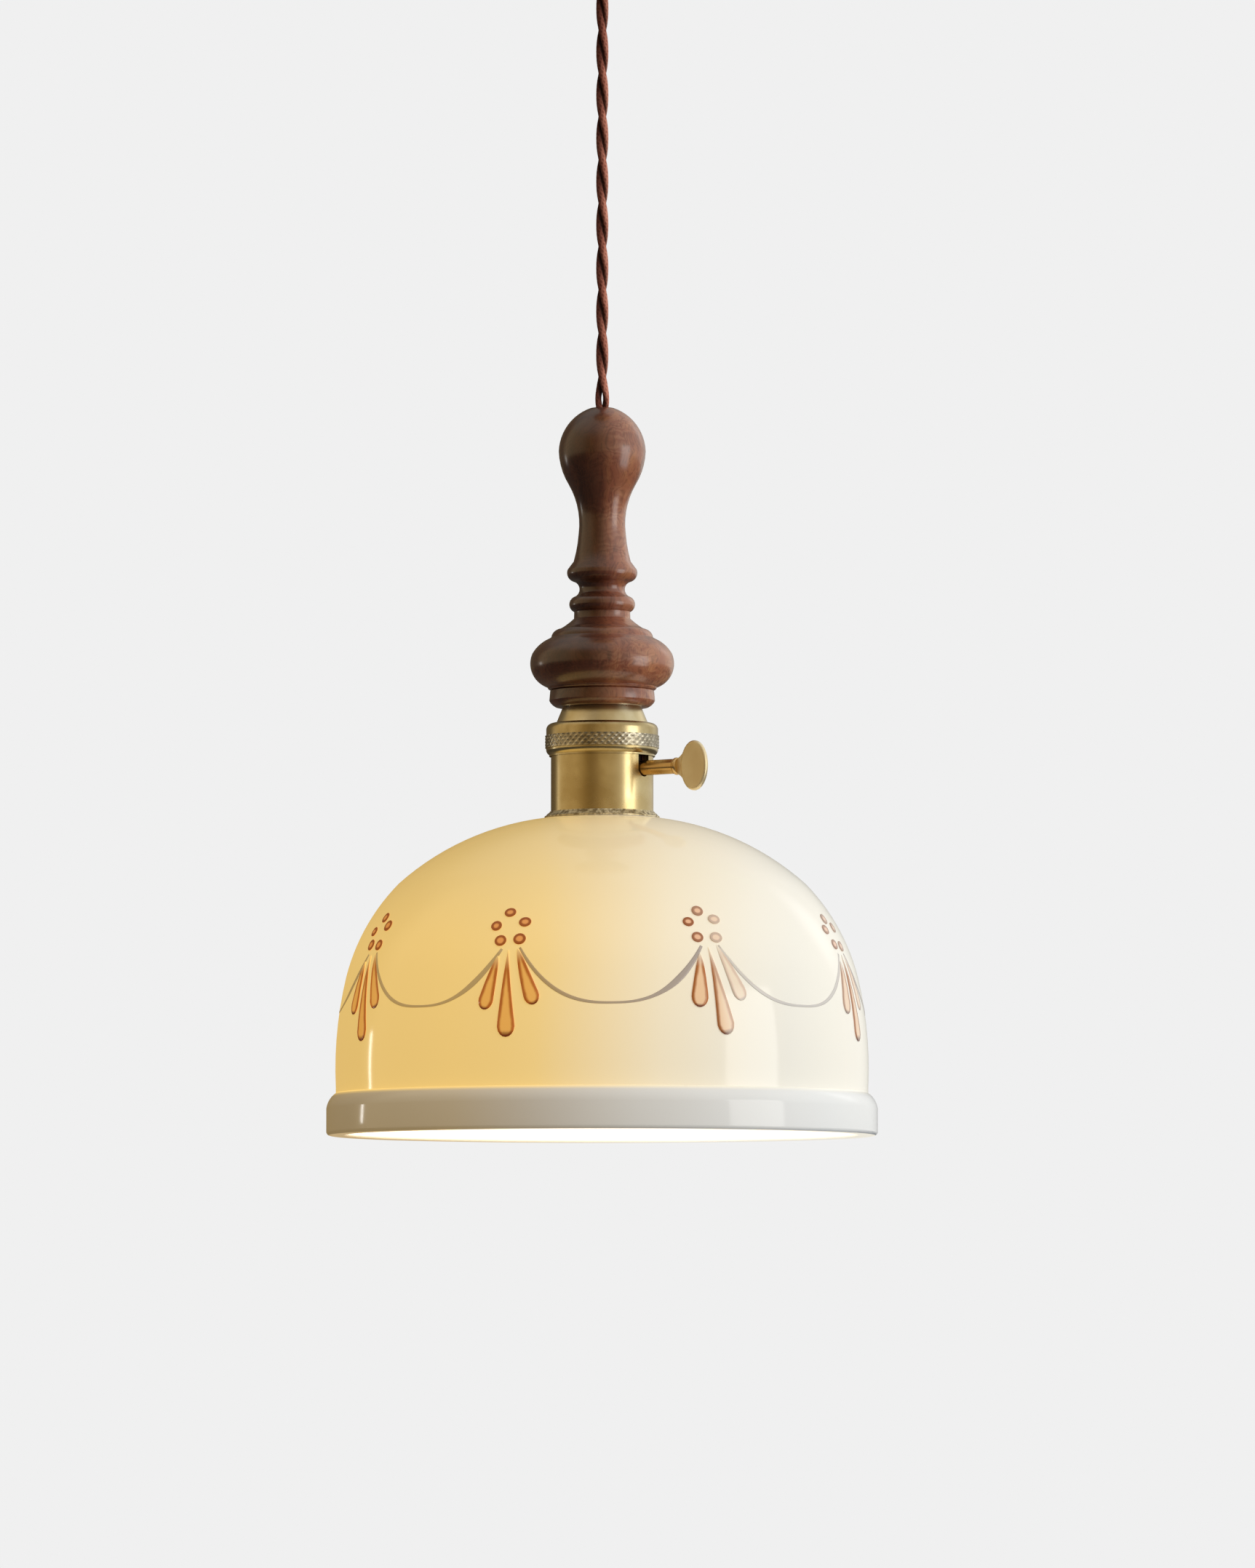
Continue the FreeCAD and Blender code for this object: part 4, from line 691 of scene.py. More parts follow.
def glaze_tones(tree, place):
    """The glaze's base colour and its glow at a place, both with painted light: by the way across the bell,
    and by height.
    """
    spread = add(tree, "TexNoise", {"Vector": place, "Scale": 9.0, "Detail": 1.0}).outputs["Fac"]
    shift = add(tree, "MapRange", {"Value": spread, "To Min": -6.0, "To Max": 6.0}).outputs["Result"]
    parts = add(tree, "SeparateXYZ", {0: place}).outputs
    side = add(tree, "Math", {0: parts["X"], 1: 1 / MM}, operation="MULTIPLY").outputs[0]
    side = add(tree, "Math", {0: side, 1: shift}, operation="ADD").outputs[0]
    base_and_side_light = ramp_over(tree, side, -BELL_REACH, BELL_REACH, DOME_BASE_AND_SIDE_LIGHT)
    glow = ramp_over(tree, side, -BELL_REACH, BELL_REACH, DOME_GLOW)
    lower = add(tree, "MapRange", {"Value": parts["Z"], "From Min": GLOW_DIM_FROM,
                                   "From Max": GLOW_FULL_FROM, "To Min": GLOW_DIM},
                interpolation_type="SMOOTHSTEP").outputs["Result"]
    glow = add(tree, "Mix", {0: 1.0, 6: glow, 7: lower}, data_type="RGBA", blend_type="MULTIPLY").outputs[2]
    banded = add(tree, "MapRange", {"Value": parts["Z"], "From Min": BAND_GLAZE_FROM,
                                    "From Max": BAND_GLAZE_TO},
                 interpolation_type="SMOOTHSTEP").outputs["Result"]
    base_and_side_light = add(tree, "Mix", {0: banded, 6: base_and_side_light, 7: shade_of("F3F2EC")}, data_type="RGBA").outputs[2]
    band_glow = ramp_over(tree, side, -BELL_REACH, BELL_REACH, BAND_GLOW)
    glow = add(tree, "Mix", {0: banded, 6: glow, 7: band_glow}, data_type="RGBA").outputs[2]
    return base_and_side_light, glow


print("the dome's glow goes from", DOME_GLOW[0][1], "to", DOME_GLOW[-1][1])

# %% Glaze finishes
glaze, tree, shader = new_finish("cream_glaze", Roughness=0.09, IOR=1.5, Emission_Strength=1.0)
place = add(tree, "TexCoord").outputs["Object"]
base_and_side_light, glow = glaze_tones(tree, place)
tree.links.new(base_and_side_light, shader.inputs["Base Color"])
tree.links.new(glow, shader.inputs["Emission Color"])
ripple = add(tree, "TexNoise", {"Vector": place, "Scale": 45.0, "Detail": 1.0}).outputs["Fac"]
flow = add(tree, "Bump", {"Strength": 0.015, "Distance": 0.6 * MM, "Height": ripple}).outputs["Normal"]
tree.links.new(flow, shader.inputs["Normal"])
bell.data.materials.append(glaze)

# Painted light: the inside glows by emission, and its base colour warms towards the bulb. The lip's
# underside gets a painted glow, golden towards -X and pale towards +X.
lit_glaze, tree, shader = new_finish("lit_inside_glaze", Roughness=0.2, IOR=1.5, Emission_Strength=1.0)
place = add(tree, "TexCoord").outputs["Object"]
parts = add(tree, "SeparateXYZ", {0: place}).outputs
to_bulb = add(tree, "MapRange", {"Value": parts["Z"], "From Min": -0.51,
                                 "From Max": -0.39}).outputs["Result"]
painted_bulb_warmth = add(tree, "ValToRGB", {"Fac": to_bulb}, stops=[
    (0.0, shade_of("FFF8EA")), (1.0, shade_of("F0D8AC"))]).outputs["Color"]
painted_lip_glow = ramp_over(tree, parts["X"], -BELL_REACH * MM, BELL_REACH * MM, [
    (-0.09, "B3996C"), (-0.04, "CEBF9E"), (0.03, "DDDACE")])
inside = add(tree, "MapRange", {"Value": parts["Z"], "From Min": SHADE_FOOT + 0.3 * MM,
                                "From Max": SHADE_FOOT + 1.5 * MM}).outputs["Result"]
lit = add(tree, "Mix", {0: inside, 6: painted_lip_glow, 7: painted_bulb_warmth}, data_type="RGBA").outputs[2]
tree.links.new(painted_bulb_warmth, shader.inputs["Base Color"])
tree.links.new(lit, shader.inputs["Emission Color"])
bell.data.materials.append(lit_glaze)
print("glaze finishes:", [slot.name for slot in bell.data.materials])

# %% [markdown]
# ## The painted festoon
# A traditional garland is painted round the bell eight times: a ring of five hollow dots, three drops that
# hang from it, and a thin swag to the next ring. A picture on the glaze would be as sharp as its pixels
# only, so each brush mark is a thin, slightly raised skin of enamel. A mark is drawn flat and then laid on
# the bell: its place is an angle round the bell and a distance up the glaze from the band.

# %% Places on the bell
OUTLINE_UP = outer_dome[::-1]
climbed = [0.0]
for (r0, z0), (r1, z1) in zip(OUTLINE_UP, OUTLINE_UP[1:]):
    climbed.append(climbed[-1] + math.hypot(r1 - r0, z1 - z0))
print("the glaze climbs", round(climbed[-1] / MM), "mm from the band to the bell's flat top")


def on_bell(angle, climb, lift):
    """The place at an angle in degrees from the front towards +X, so far up the glaze, lifted off it."""
    row = max(1, next((i for i, c in enumerate(climbed) if c >= climb), len(climbed) - 1))
    (r0, z0), (r1, z1) = OUTLINE_UP[row - 1], OUTLINE_UP[row]
    share = (climb - climbed[row - 1]) / (climbed[row] - climbed[row - 1])
    length = math.hypot(r1 - r0, z1 - z0)
    across = r0 + (r1 - r0) * share + (z1 - z0) / length * lift
    up = z0 + (z1 - z0) * share - (r1 - r0) / length * lift
    way = math.radians(angle)
    return Vector((across * math.sin(way), -across * math.cos(way), up))


def radius_at(climb):
    """The bell's radius so far up the glaze."""
    here = on_bell(0, climb, 0)
    return math.hypot(here.x, here.y)


# %% [markdown]
# Three helpers make the marks. A dot is a circle that is inset ring by ring, so that the paint can change
# from its outline inwards. A stroke is a grid, whose rows the brush widens and narrows. Laying puts either
# on the bell and gives it an underside inside the wall, so that each mark is a closed skin.

# %% Lay a mark and close it
SKIN, PILE = 0.07 * MM, 0.04 * MM      # a mark's edge stands off the glaze by SKIN, its middle by PILE more
SUNK = 0.25 * MM


def lay(bm, marks, faces, inward, down, load, place):
    """Lays a flat mark on the bell, keeps its paint as UV and its load of paint, and closes it below."""
    paint, load_layer = marks
    for face in faces:
        for loop in face.loops:
            loop[paint].uv = (inward[loop.vert] / MM, down(loop.vert))
    for v, depth in inward.items():
        v[load_layer] = load(v)
        angle, climb = place(v.co.x, v.co.y)
        v.co = on_bell(angle, climb, SKIN + PILE * min(1.0, depth / MM))
    bmesh.ops.recalc_face_normals(bm, faces=faces)
    bmesh.ops.solidify(bm, geom=faces, thickness=SUNK)


def new_marks():
    """An empty mesh for marks, with its paint UV and paint load."""
    bm = bmesh.new()
    return bm, (bm.loops.layers.uv.new("paint"), bm.verts.layers.float.new("load"))


print("a mark stands", round((SKIN + PILE) / MM, 2), "mm off the glaze at most")

# %% Dots and strokes
INNER_RINGS = (0.35 * MM, 0.4 * MM, 0.45 * MM)


def dot(bm, size_x, size_y):
    """A flat oval with rings of faces, and how far in each of its vertices lies."""
    made = bmesh.ops.create_circle(bm, cap_ends=True, segments=22, radius=1.0)["verts"]
    bmesh.ops.scale(bm, vec=(size_x, size_y, 1), verts=made)
    inward, face, faces, depth = {}, made[0].link_faces[0], [], 0.0
    for width in INNER_RINGS:
        ring = bmesh.ops.inset_region(bm, faces=[face], thickness=width, use_boundary=True,
                                      use_even_offset=True)["faces"]
        inner = set(face.verts)
        inward.update({v: depth for part in ring for v in part.verts if v not in inner})
        depth += width
        inward.update({v: depth for v in inner})
        faces += ring
    hub = bmesh.ops.poke(bm, faces=[face])
    inward[hub["verts"][0]] = size_y
    return faces + hub["faces"], inward


def stroke(bm, lanes, steps):
    """A flat grid from -1 to 1 both ways: x runs across the stroke and y along it."""
    made = bmesh.ops.create_grid(bm, x_segments=lanes, y_segments=steps, size=1.0)["verts"]
    return made, list({face for v in made for face in v.link_faces})


print("a dot has", len(INNER_RINGS) + 1, "rings, the hub counted")

# %% [markdown]
# A painter works by eye, so no two motifs are alike. The four that the photo shows have their own angle and
# height, and two of them thinner paint. The other four, round the back, follow at the same spacing.

# %% Places and sizes of the motifs
MOTIFS = [                   # angle, millimetres set up by, and the drops' swing
    (-21.2, 0.0, -1), (24.3, 1.6, 1), (70.8, 1.2, 0), (114.0, 0.3, 0.5), (159.0, 1.0, -0.4),
    (204.0, 0.2, 0.3), (249.0, 1.3, -0.6), (-65.2, 0.6, 0.4)]
DOTS = [(-0.9, 69.8), (5.8, 65.8), (-5.7, 64.3), (-3.0, 57.8), (4.8, 58.0)]
DOT_SIZE = (2.5, 2.15)
DROPS = [                    # top, foot, half width, swing of the foot, and taper
    ((-3.7, 50.6), (-6.8, 29.2), 3.3, 1.3, 0.6), ((0.3, 53.2), (3.7, 18.4), 3.7, 2.1, 1.0),
    ((4.2, 54.2), (13.0, 31.8), 3.3, 0.5, 0.6)]
DROP_TOP_RADIUS, DROP_RADIUS = 0.102, 0.1045      # of the bell at the drops' tops and at their middles
THIN_PAINT = {24.3: [(1.0, 1.0), (1.0, 0.6), (0.42, 0.5)], 70.8: [(0.7, 0.8), (0.9, 0.8), (0.6, 0.7)]}
THIN_DOTS = {24.3: (0.85, 0.55, 1.0, 0.95, 0.55), 70.8: (0.7, 0.7, 0.8, 0.8, 0.7)}
THIN_END = 0.2               # share of the paint at a drop's top, where the brush only just touches
LANES, STEPS = 6, 18
print(len(MOTIFS), "motifs with", len(DOTS), "dots and", len(DROPS), "drops each")

# %% Paint the dots and drops
random.seed(7)


def wander(reach):
    """A small slip of the brush, in millimetres."""
    return random.uniform(-reach, reach)


def belly(down, foot, taper):
    """A drop's width, as a share of its widest, so far down it: it widens to a round foot."""
    if down < 1 - foot:
        return (down / (1 - foot)) ** taper
    return math.sqrt(max(0.0, 1 - ((down - 1 + foot) / foot) ** 2))


dots, dot_marks = new_marks()
drops, drop_marks = new_marks()
for motif_angle, motif_up, swing in MOTIFS:
    for (across, climb), amount in zip(DOTS, THIN_DOTS.get(motif_angle, (1.0,) * 5)):
        size_x, size_y = (size * (1 + wander(0.1)) * MM for size in DOT_SIZE)
        middle = climb + motif_up * 0.75 + wander(0.4)
        radius = radius_at(middle * MM)
        aside = motif_angle + math.degrees((across - 0.4 + wander(0.3)) * MM / radius)
        faces, inward = dot(dots, size_x, size_y)
        lay(dots, dot_marks, faces, inward, lambda v: 0.5 + v.co.y / size_y / 2, lambda v: amount,
            lambda x, y: (aside + math.degrees(x / radius), middle * MM + y))
    loads = THIN_PAINT.get(motif_angle, [(1.0, 1.0)] * 3)
    for drop, (left_load, right_load) in zip(DROPS, loads):
        (top_across, top_climb), (foot_across, foot_climb), half, reach, taper = drop
        up = motif_up * 0.8 + wander(0.5)
        half_width = (half + wander(0.25)) * MM
        foot_at = foot_across + reach * swing
        length = math.hypot(foot_at - top_across, top_climb - foot_climb) * MM
        lean = math.atan2(foot_at - top_across, top_climb - foot_climb)
        made, faces = stroke(drops, LANES, STEPS)
        inward, lanes = {}, {}
        for v in made:
            down = (1 - math.cos(math.pi * (1 - v.co.y) / 2)) / 2
            wide = half_width * belly(down, 1.25 * half_width / length, taper)
            inward[v], lanes[v] = wide * (1 - abs(v.co.x)), v.co.x
            v.co.x, v.co.y = v.co.x * wide, -down * length
        top_angle = motif_angle + math.degrees(top_across * MM / DROP_TOP_RADIUS)

        def hang(x, y):
            """Place of a drop's point: it leans, and its top is at the ring of dots."""
            across = x * math.cos(lean) - y * math.sin(lean)
            climb = (top_climb + up) * MM + y * math.cos(lean) + x * math.sin(lean)
            return top_angle + math.degrees(across / DROP_RADIUS), climb

        lay(drops, drop_marks, faces, inward, lambda v: -v.co.y / length,
            lambda v: (left_load + (right_load - left_load) * (lanes[v] + 1) / 2)
            * min(1.0, THIN_END - 3.5 * v.co.y / length), hang)
bmesh.ops.remove_doubles(drops, verts=drops.verts, dist=0.001 * MM)
print("dots and drops:", len(dots.faces), len(drops.faces), "faces")

# %% [markdown]
# A swag is one stroke of a fine liner from drop to drop. It hangs squarer than a parabola, and the hand
# presses harder near its end. The grid keeps its rows across the stroke, whichever way the line runs.

# %% Swags
swags, swag_marks = new_marks()
SWAG_LANES, SWAG_STEPS = 4, 56
SWAG_HALF, SWAG_SAG = 0.80, 22.9       # half width and sag in millimetres
SWAG_CURVE = 2.6
SWAG_RADIUS = 103                      # of the bell at the swags, in millimetres
SWAG_START, SWAG_STOP = (2.8, 54.4), (-1.4, 54.0)      # degrees past a motif, and the climb there
HEAVY_END, PALE_SWAG = -21.2, 24.3     # the swag from this motif ends thick, and the one from that is pale
ordered = sorted(MOTIFS)
for (left_angle, left_up, _), (right_angle, right_up, _) in zip(ordered, ordered[1:] + [
        (ordered[0][0] + 360, *ordered[0][1:])]):
    start = (left_angle + SWAG_START[0], SWAG_START[1] + left_up * 0.8)
    stop = (right_angle + SWAG_STOP[0], SWAG_STOP[1] + right_up * 0.8)
    sag = SWAG_SAG + wander(0.5)
    heavy = 0.5 if left_angle == HEAVY_END else random.choice((0.05, 0.2, 0.35))
    amount = 0.55 if left_angle == PALE_SWAG else random.uniform(0.85, 1.0)
    made, faces = stroke(swags, SWAG_LANES, SWAG_STEPS)
    inward = {v: (1 - abs(v.co.x)) * SWAG_HALF * MM for v in made}

    def hung(x, y):
        """Place on a swag: y runs from -1 to 1 along it, x across its width."""
        share = (y + 1) / 2
        angle = start[0] + (stop[0] - start[0]) * share
        level = start[1] + (stop[1] - start[1]) * share
        off_middle = 2 * share - 1
        slope = math.copysign(2 * SWAG_CURVE * sag * abs(off_middle) ** (SWAG_CURVE - 1), off_middle)
        run = math.radians(stop[0] - start[0]) * SWAG_RADIUS
        ends = min(1, 0.8 + 4 * share, 0.8 + 4 * (1 - share))
        width = SWAG_HALF * (0.8 + 0.2 * math.sin(share * 9)) * ends
        width += heavy * math.exp(-((share - 0.86) / 0.09) ** 2)
        tilt = math.atan2(slope, run)
        climb = level - sag * (1 - abs(off_middle) ** SWAG_CURVE) - x * width * math.cos(tilt)
        return angle + math.degrees(x * width * math.sin(tilt) / SWAG_RADIUS), climb * MM

    lay(swags, swag_marks, faces, inward, lambda v: (v.co.y + 1) / 2, lambda v: amount, hung)

painted_dots = piece_from(dots, "painted_dots", "shade")
painted_drops = piece_from(drops, "painted_drops", "shade")
painted_swags = piece_from(swags, "painted_swags", "shade")

# %% [markdown]
# The enamel is thinned with oil, so a mark is pale where the brush ran out and dark where the paint pooled:
# round its outline and at its foot. The paint UV gives both: x is how many millimetres in from the outline
# a place is, and y how far down the mark. Each mark also has its load of paint. The glaze and its glow show
# through the thin enamel, so its tones are the glaze's, with their painted light, coloured by the paint as
# by a filter.

# %% Enamel finishes
CLEAR = shade_of("FFFFFF")


def enamel(name, outline, fill_left, fill_right, pool, outline_over=(0.6, 1.8), pool_over=(2.0, 3.0)):
    """Painted enamel as a filter over the glaze: an outline, a thin fill and a pool of paint at one end."""
    material, tree, shader = new_finish(name, Roughness=0.12, IOR=1.5, Emission_Strength=1.0)
    paint = add(tree, "UVMap", uv_map="paint").outputs["UV"]
    shares = add(tree, "SeparateXYZ", {0: paint}).outputs
    place = add(tree, "TexCoord").outputs["Object"]
    wash = add(tree, "TexNoise", {"Vector": place, "Scale": 260.0, "Detail": 3.0}).outputs["Fac"]
    slip = add(tree, "MapRange", {"Value": wash, "To Min": -0.35, "To Max": 0.35}).outputs["Result"]
    depth = add(tree, "Math", {0: shares["X"], 1: slip}, operation="ADD").outputs[0]
    filled = add(tree, "MapRange", {"Value": depth, "From Min": outline_over[0],
                                    "From Max": outline_over[1]},
                 interpolation_type="SMOOTHSTEP").outputs["Result"]
    # Painted light: the fill pales from fill_left to fill_right across the bell, towards the window's side.
    side = add(tree, "SeparateXYZ", {0: place}).outputs["X"]
    fill = ramp_over(tree, side, -BELL_REACH * MM, BELL_REACH * MM, [
        (-0.03, fill_left), (0.04, fill_right)])
    tone = add(tree, "Mix", {0: filled, 6: shade_of(outline), 7: fill}, data_type="RGBA").outputs[2]
    foot_slip = add(tree, "Math", {0: slip, 1: 0.06}, operation="MULTIPLY").outputs[0]
    foot = add(tree, "Math", {0: shares["Y"], 1: foot_slip}, operation="ADD").outputs[0]
    pooled = add(tree, "MapRange", {"Value": foot, "From Min": pool_over[0],
                                    "From Max": pool_over[1]}).outputs["Result"]
    tone = add(tree, "Mix", {0: pooled, 6: tone, 7: shade_of(pool)}, data_type="RGBA").outputs[2]
    load = add(tree, "Attribute", attribute_name="load").outputs["Fac"]
    tone = add(tree, "Mix", {0: load, 6: CLEAR, 7: tone}, data_type="RGBA").outputs[2]
    base_and_side_light, glow = glaze_tones(tree, place)
    for under, socket in ((base_and_side_light, "Base Color"), (glow, "Emission Color")):
        seen = add(tree, "Mix", {0: 1.0, 6: under, 7: tone}, data_type="RGBA",
                   blend_type="MULTIPLY").outputs[2]
        tree.links.new(seen, shader.inputs[socket])
    return material


painted_dots.data.materials.append(enamel(
    "dot_enamel", "9E613F", "EAB595", "F3C5AD", "7C3F30", outline_over=(0.75, 1.5)))
painted_drops.data.materials.append(enamel(
    "drop_enamel", "B57345", "F1CEA2", "F7D7BC", "6F3827", pool_over=(0.93, 0.98)))
painted_swags.data.materials.append(enamel(
    "swag_enamel", "B1ACB5", "9E97A2", "A4A2AC", "95959E"))
print("enamel finishes:", len([m for m in bpy.data.materials if "enamel" in m.name]))

# %% [markdown]
# ## The bulb and the parts inside
# From below, the bulb's opal globe shows as a soft bright ball with its cap going up into the holder. The
# globe is glass frosted inside, so it is drawn as a bright, faintly glossy skin, not as clear glass over a
# filament. The small parts keep their CAD shapes, and each gets the finish of what it is made of.

# %% Bulb, plastic, steel and rubber finishes
def plain_finish(name, dark, light, scale, relief, **sockets):
    """A finish that drifts between two tones, with a bump of the same grain."""
    material, tree, shader = new_finish(name, **sockets)
    place = add(tree, "TexCoord").outputs["Object"]
    grain = add(tree, "TexNoise", {"Vector": place, "Scale": scale, "Detail": 4.0}).outputs["Fac"]
    tone = add(tree, "ValToRGB", {"Fac": grain}, stops=[
        (0.3, shade_of(dark)), (0.7, shade_of(light))]).outputs["Color"]
    tree.links.new(tone, shader.inputs["Base Color"])
    skin = add(tree, "Bump", {"Strength": relief, "Distance": 0.1 * MM, "Height": grain}).outputs["Normal"]
    tree.links.new(skin, shader.inputs["Normal"])
    return material, shader


opal, shader = plain_finish("opal_glass", "F6EBD2", "FFF7E6", 60.0, 0.02, Roughness=0.12, IOR=1.5)
shader.inputs["Emission Color"].default_value = shade_of("FFE7C0")
shader.inputs["Emission Strength"].default_value = 3.0
dress(opal, "bulb_glass")
phosphor, shader = plain_finish("filament_phosphor", "E8B85A", "F2CC78", 800.0, 0.2, Roughness=0.7)
shader.inputs["Emission Color"].default_value = shade_of("FFD79A")
shader.inputs["Emission Strength"].default_value = 6.0
dress(phosphor, "bulb_filaments")
dress(plain_finish("clear_glass", "EEF2F0", "F8FAFA", 40.0, 0.02, Roughness=0.03, IOR=1.5,
                   Transmission_Weight=0.9)[0], "bulb_mount")
dress(plain_finish("nickelled_cap", "A8A6A0", "C8C6C0", 220.0, 0.15, Metallic=1.0, Roughness=0.28)[0],
      "bulb_cap", "bulb_tip")
dress(plain_finish("black_glass_insulator", "16130F", "26211B", 300.0, 0.1, Roughness=0.3)[0], "bulb_base")
dress(plain_finish("zinc_plated_steel", "9EA3A6", "C2C6C8", 180.0, 0.2, Metallic=1.0, Roughness=0.34)[0],
      "ceiling_strap", "grip_nut", "grip_grub_screw", "threaded_nipple")
dress(plain_finish("moulded_phenolic", "241A14", "33251C", 260.0, 0.25, Roughness=0.45)[0], "switch_body")
dress(plain_finish("moulded_white_block", "D8D6CE", "E8E6DF", 240.0, 0.2, Roughness=0.5)[0],
      "terminal_block")
dress(plain_finish("vulcanised_fibre", "6E4A34", "8A6046", 320.0, 0.3, Roughness=0.7)[0],
      "insulating_liner")
dress(plain_finish("silicone_washer", "C9C6BD", "DAD7CF", 200.0, 0.15, Roughness=0.6)[0],
      "shade_top_washer", "shade_under_washer")
dress(braid, "cup_cord", "handle_cord")
print("CAD nodes that show:", sum(not o.hide_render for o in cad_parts.values()))

# %% [markdown]
# ## Light and background
# The photo's background is one pale grey. The world gives it to the camera, and to mirrors and glass where
# nothing else is in their way. A wall behind the lamp could do it too, but it would catch shadows.

# %% World
world = bpy.data.worlds.new("pale_room")
world.use_nodes = True
bpy.context.scene.world = world
tree = world.node_tree
tree.nodes.clear()
ray = add(tree, "LightPath").outputs
seen = add(tree, "Math", {0: ray["Is Camera Ray"], 1: ray["Is Glossy Ray"]}, operation="MAXIMUM").outputs[0]
seen = add(tree, "Math", {0: seen, 1: ray["Is Transmission Ray"]}, operation="MAXIMUM").outputs[0]
level = add(tree, "MapRange", {"Value": seen, "To Min": 0.5, "To Max": 1.0}).outputs["Result"]
pale = add(tree, "Background", {"Color": shade_of("F0F0F0"), "Strength": level})
add(tree, "OutputWorld", {"Surface": pale.outputs["Background"]})
print("world:", world.name)

# %% [markdown]
# The photo was taken in a room that is dim and warm on the left and lit by a window on the right. Brass and
# glaze show all of that as soft upright bands, so the room is built as a great sphere that the camera
# doesn't see, whose brightness changes with the way round and fades into a plain ceiling. What it shows in
# gloss and what it sheds on matt surfaces are two scales, because one scale for both matched only one of
# them. Rays that have passed through glass see the pale background instead.

# %% Stage objects
def staged(name, bm, seen_by_camera=True):
    """Makes a stage object, which isn't part of the lamp."""
    mesh = bpy.data.meshes.new(name)
    bm.to_mesh(mesh)
    bm.free()
    piece = bpy.data.objects.new(name, mesh)
    bpy.context.scene.collection.objects.link(piece)
    piece.visible_camera = seen_by_camera
    return mesh


ROOM_RADIUS, LAMP_HEIGHT = 13.0, -0.45
room = bmesh.new()
bmesh.ops.create_uvsphere(room, u_segments=96, v_segments=48, radius=ROOM_RADIUS,
                          matrix=Matrix.Translation((0, 0, LAMP_HEIGHT)))
room_mesh = staged("room", room, seen_by_camera=False)
print("the room has", len(room_mesh.polygons), "faces")

# %% Light of the room, by degrees round from the lamp's front towards +X
SHOWN = [                    # what gloss sees there
    (-180, "554B3C"), (-128, "655948"), (-112, "CBB690"), (-60, "C2AA81"), (-38, "9B8155"),
    (-26, "816A45"), (-12, "99815D"), (2, "B8A27C"), (34, "C2B195"), (56, "DFDAD1"), (90, "E7E6E2"),
    (150, "DDDAD4"), (180, "7C766C")]
SHED = [                     # the light that matt surfaces get from there: factors, where 1 is white
    (-180, (0.16, 0.15, 0.14)), (-150, (0.05, 0.042, 0.035)), (-15, (0.05, 0.042, 0.035)),
    (10, (0.36, 0.34, 0.32)), (35, (1.00, 0.99, 0.98)), (60, (1.30, 1.30, 1.30)),
    (110, (1.30, 1.30, 1.30)), (150, (0.60, 0.59, 0.57)), (180, (0.16, 0.15, 0.14))]
CEILING_SHOWN, CEILING_SHED, CEILING_GLOSS = "CECAC2", "B8B6B3", 0.65
CEILING_FROM, CEILING_TO = 0.45 * ROOM_RADIUS, 0.90 * ROOM_RADIUS
GLEAM_WAY, GLEAM_RISE, GLEAM_LIGHT = 135, 22, 0.6      # a soft skylight high up behind the lamp
GLEAM_SIZE = (9, 12)                                   # degrees round and up
RISE = 57.3                                            # degrees up, for a climb of one room radius

room_light = bpy.data.materials.new("room_light")
room_light.use_nodes = True
tree = room_light.node_tree
tree.nodes.clear()
place = add(tree, "TexCoord").outputs["Object"]
parts = add(tree, "SeparateXYZ", {0: place}).outputs
way = way_about(tree, place)
up = add(tree, "MapRange", {"Value": parts["Z"], "From Min": CEILING_FROM, "From Max": CEILING_TO},
         interpolation_type="SMOOTHSTEP").outputs["Result"]
up_gloss = add(tree, "Math", {0: up, 1: CEILING_GLOSS}, operation="MULTIPLY").outputs[0]
shown = add(tree, "Mix", {0: up_gloss, 6: ramp_over(tree, way, -180, 180, SHOWN),
                          7: shade_of(CEILING_SHOWN)}, data_type="RGBA").outputs[2]
aside = add(tree, "Math", {0: way, 1: GLEAM_WAY}, operation="SUBTRACT").outputs[0]
over = add(tree, "MapRange", {"Value": parts["Z"], "From Max": ROOM_RADIUS,
                              "To Max": RISE}).outputs["Result"]
over = add(tree, "Math", {0: over, 1: GLEAM_RISE}, operation="SUBTRACT").outputs[0]
apart = add(tree, "CombineXYZ", {0: aside, 1: over}).outputs[0]
apart = add(tree, "VectorMath", {0: apart, 1: (1 / GLEAM_SIZE[0], 1 / GLEAM_SIZE[1], 1)},
            operation="MULTIPLY").outputs[0]
apart = add(tree, "VectorMath", {0: apart}, operation="LENGTH").outputs["Value"]
gleam = add(tree, "MapRange", {"Value": apart, "From Min": 1.3, "From Max": 0.2, "To Max": GLEAM_LIGHT},
            interpolation_type="SMOOTHSTEP").outputs["Result"]
shown = add(tree, "Mix", {0: 1.0, 6: shown, 7: gleam}, data_type="RGBA", blend_type="ADD").outputs[2]
shed = add(tree, "Mix", {0: up, 6: ramp_over(tree, way, -180, 180, SHED),
                         7: shade_of(CEILING_SHED)}, data_type="RGBA").outputs[2]
ray = add(tree, "LightPath").outputs
tone = add(tree, "Mix", {0: ray["Is Diffuse Ray"], 6: shown, 7: shed}, data_type="RGBA").outputs[2]
tone = add(tree, "Mix", {0: ray["Is Transmission Ray"], 6: tone, 7: shade_of("F0F0F0")},
           data_type="RGBA").outputs[2]
light = add(tree, "Emission", {"Color": tone, "Strength": 1.0}).outputs["Emission"]
add(tree, "OutputMaterial", {"Surface": light})
room_light.cycles.emission_sampling = "NONE"
room_mesh.materials.append(room_light)
print("room light:", len(SHOWN), "tones shown and", len(SHED), "shed")

# %% [markdown]
# A window's edge is crisp in the glaze, and a lit sphere gives that only with noise, so the windows are
# area lamps. The tall one gives the broad pale stripe on the bell's right and most of the daylight. The
# narrow one gives only the short bright line on the left.

# %% Windows
WATTS = 4                    # an area lamp of so many watts to the square metre is as bright as white


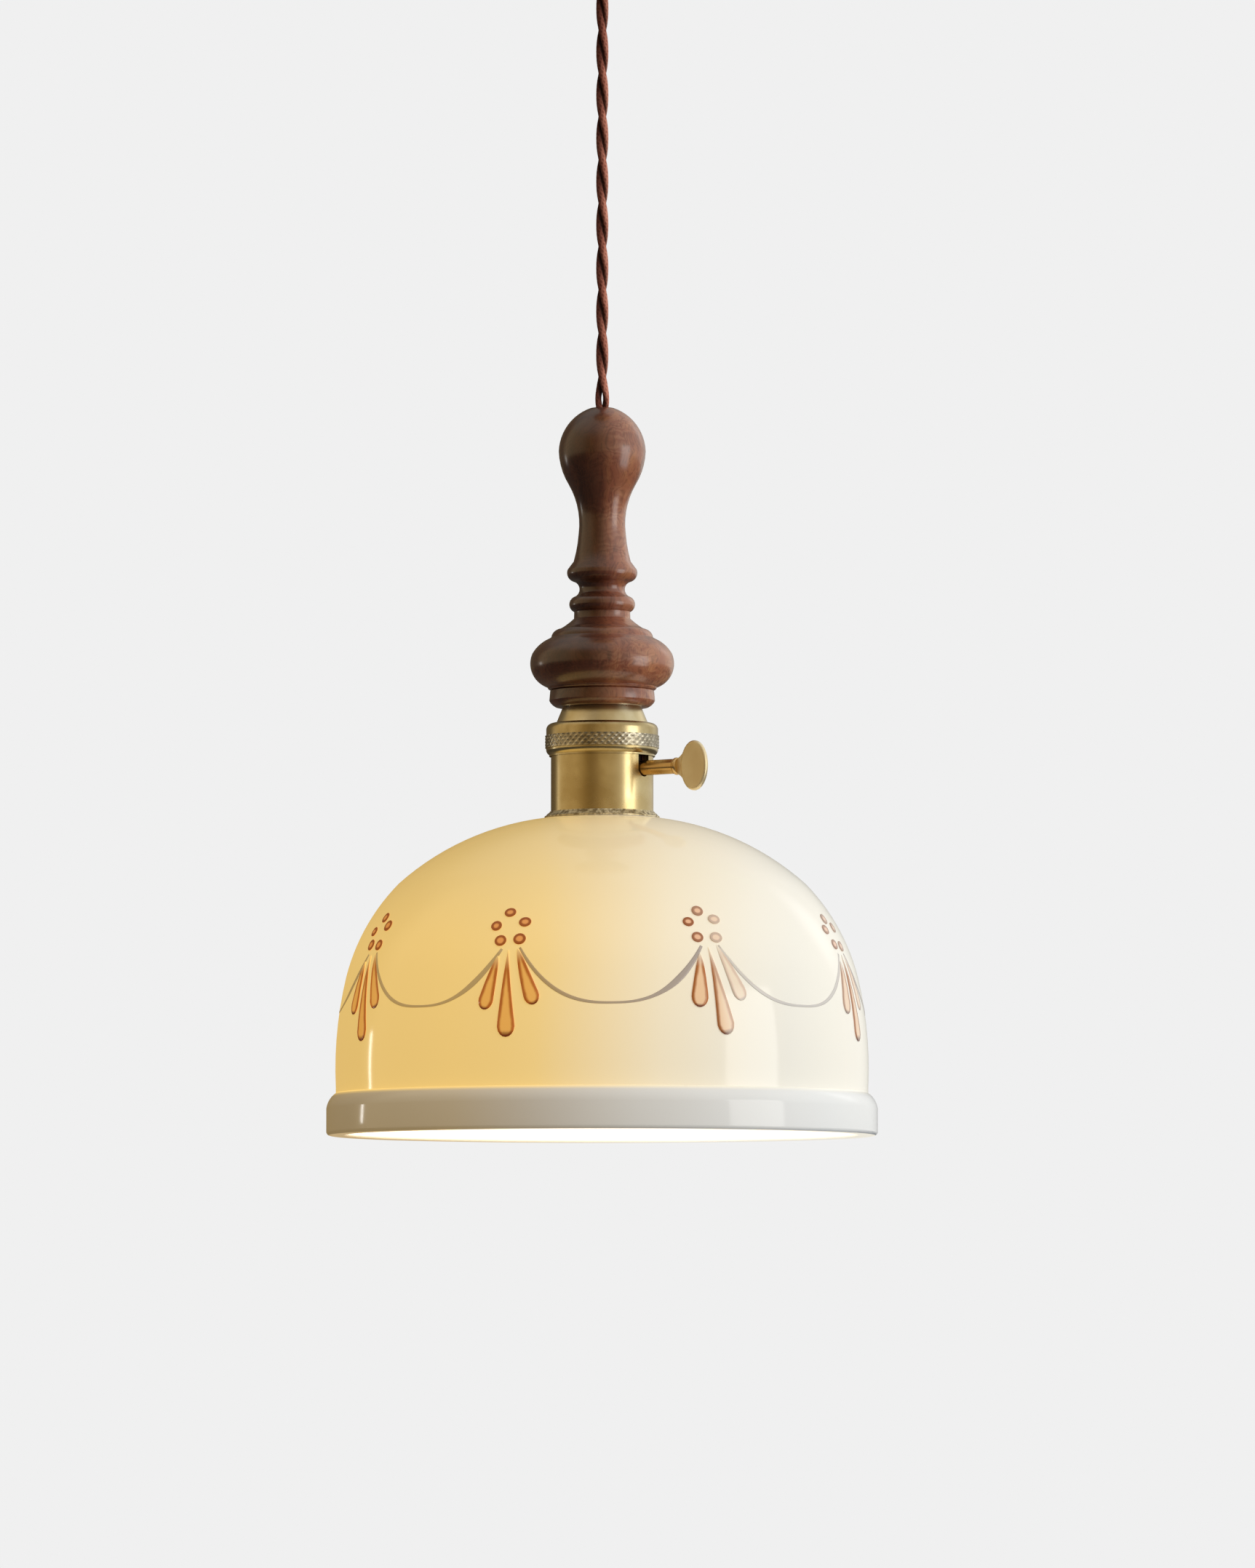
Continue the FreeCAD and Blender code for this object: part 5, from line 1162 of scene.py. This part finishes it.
def window(name, way_round, distance, width, height, brightness, colour, up=0.0):
    """An area lamp at a way round from the lamp's front, turned to the lamp's middle; 1 is white."""
    lamp = bpy.data.lights.new(name, "AREA")
    lamp.shape = "RECTANGLE"
    lamp.size, lamp.size_y = width, height
    lamp.energy = brightness * WATTS * width * height
    lamp.color = shade_of(colour)[:3]
    holder = bpy.data.objects.new(name, lamp)
    angle = math.radians(way_round)
    holder.location = (distance * math.sin(angle), -distance * math.cos(angle), LAMP_HEIGHT + up)
    to_middle = Vector((0, 0, LAMP_HEIGHT)) - holder.location
    holder.rotation_euler = to_middle.to_track_quat("-Z", "Y").to_euler()
    bpy.context.scene.collection.objects.link(holder)
    print(name, "gives", round(lamp.energy, 1), "W")


DAYLIGHT = "FFFDF9"
window("tall_window", 66, 1.6, 0.74, 1.05, 1.75, DAYLIGHT)
window("narrow_window", -116, 1.6, 0.05, 0.18, 6.5, DAYLIGHT, up=0.07)

# %% [markdown]
# The lamp hangs well over the floor, so the photo shows no shadow of it, only the pale grey. The camera
# sees a pale floor with a light of its own, and the lamp sees a darker one, which keeps the underside of
# the brass and of the band as dark as in the photo.

# %% Floor
FLOOR_LEVEL, FLOOR_FILL = -1.4, 0.62
floor = bmesh.new()
bmesh.ops.create_circle(floor, cap_ends=True, segments=96, radius=ROOM_RADIUS + 1.0,
                        matrix=Matrix.Translation((0, 0, FLOOR_LEVEL)))
floor_mesh = staged("floor", floor)
floor_paint, tree, shader = new_finish("pale_floor", Roughness=0.8, Specular_IOR_Level=0.1)
ray = add(tree, "LightPath").outputs
paint = add(tree, "Mix", {0: ray["Is Camera Ray"], 6: shade_of("6E6A64"), 7: shade_of("B0B0B0")},
            data_type="RGBA").outputs[2]
tree.links.new(paint, shader.inputs["Base Color"])
fill = add(tree, "Math", {0: ray["Is Camera Ray"], 1: FLOOR_FILL}, operation="MULTIPLY").outputs[0]
tree.links.new(fill, shader.inputs["Emission Strength"])
shader.inputs["Emission Color"].default_value = shade_of("FFFFFF")
floor_mesh.materials.append(floor_paint)
print("floor", round(abs(FLOOR_LEVEL) / MM), "mm below the ceiling")
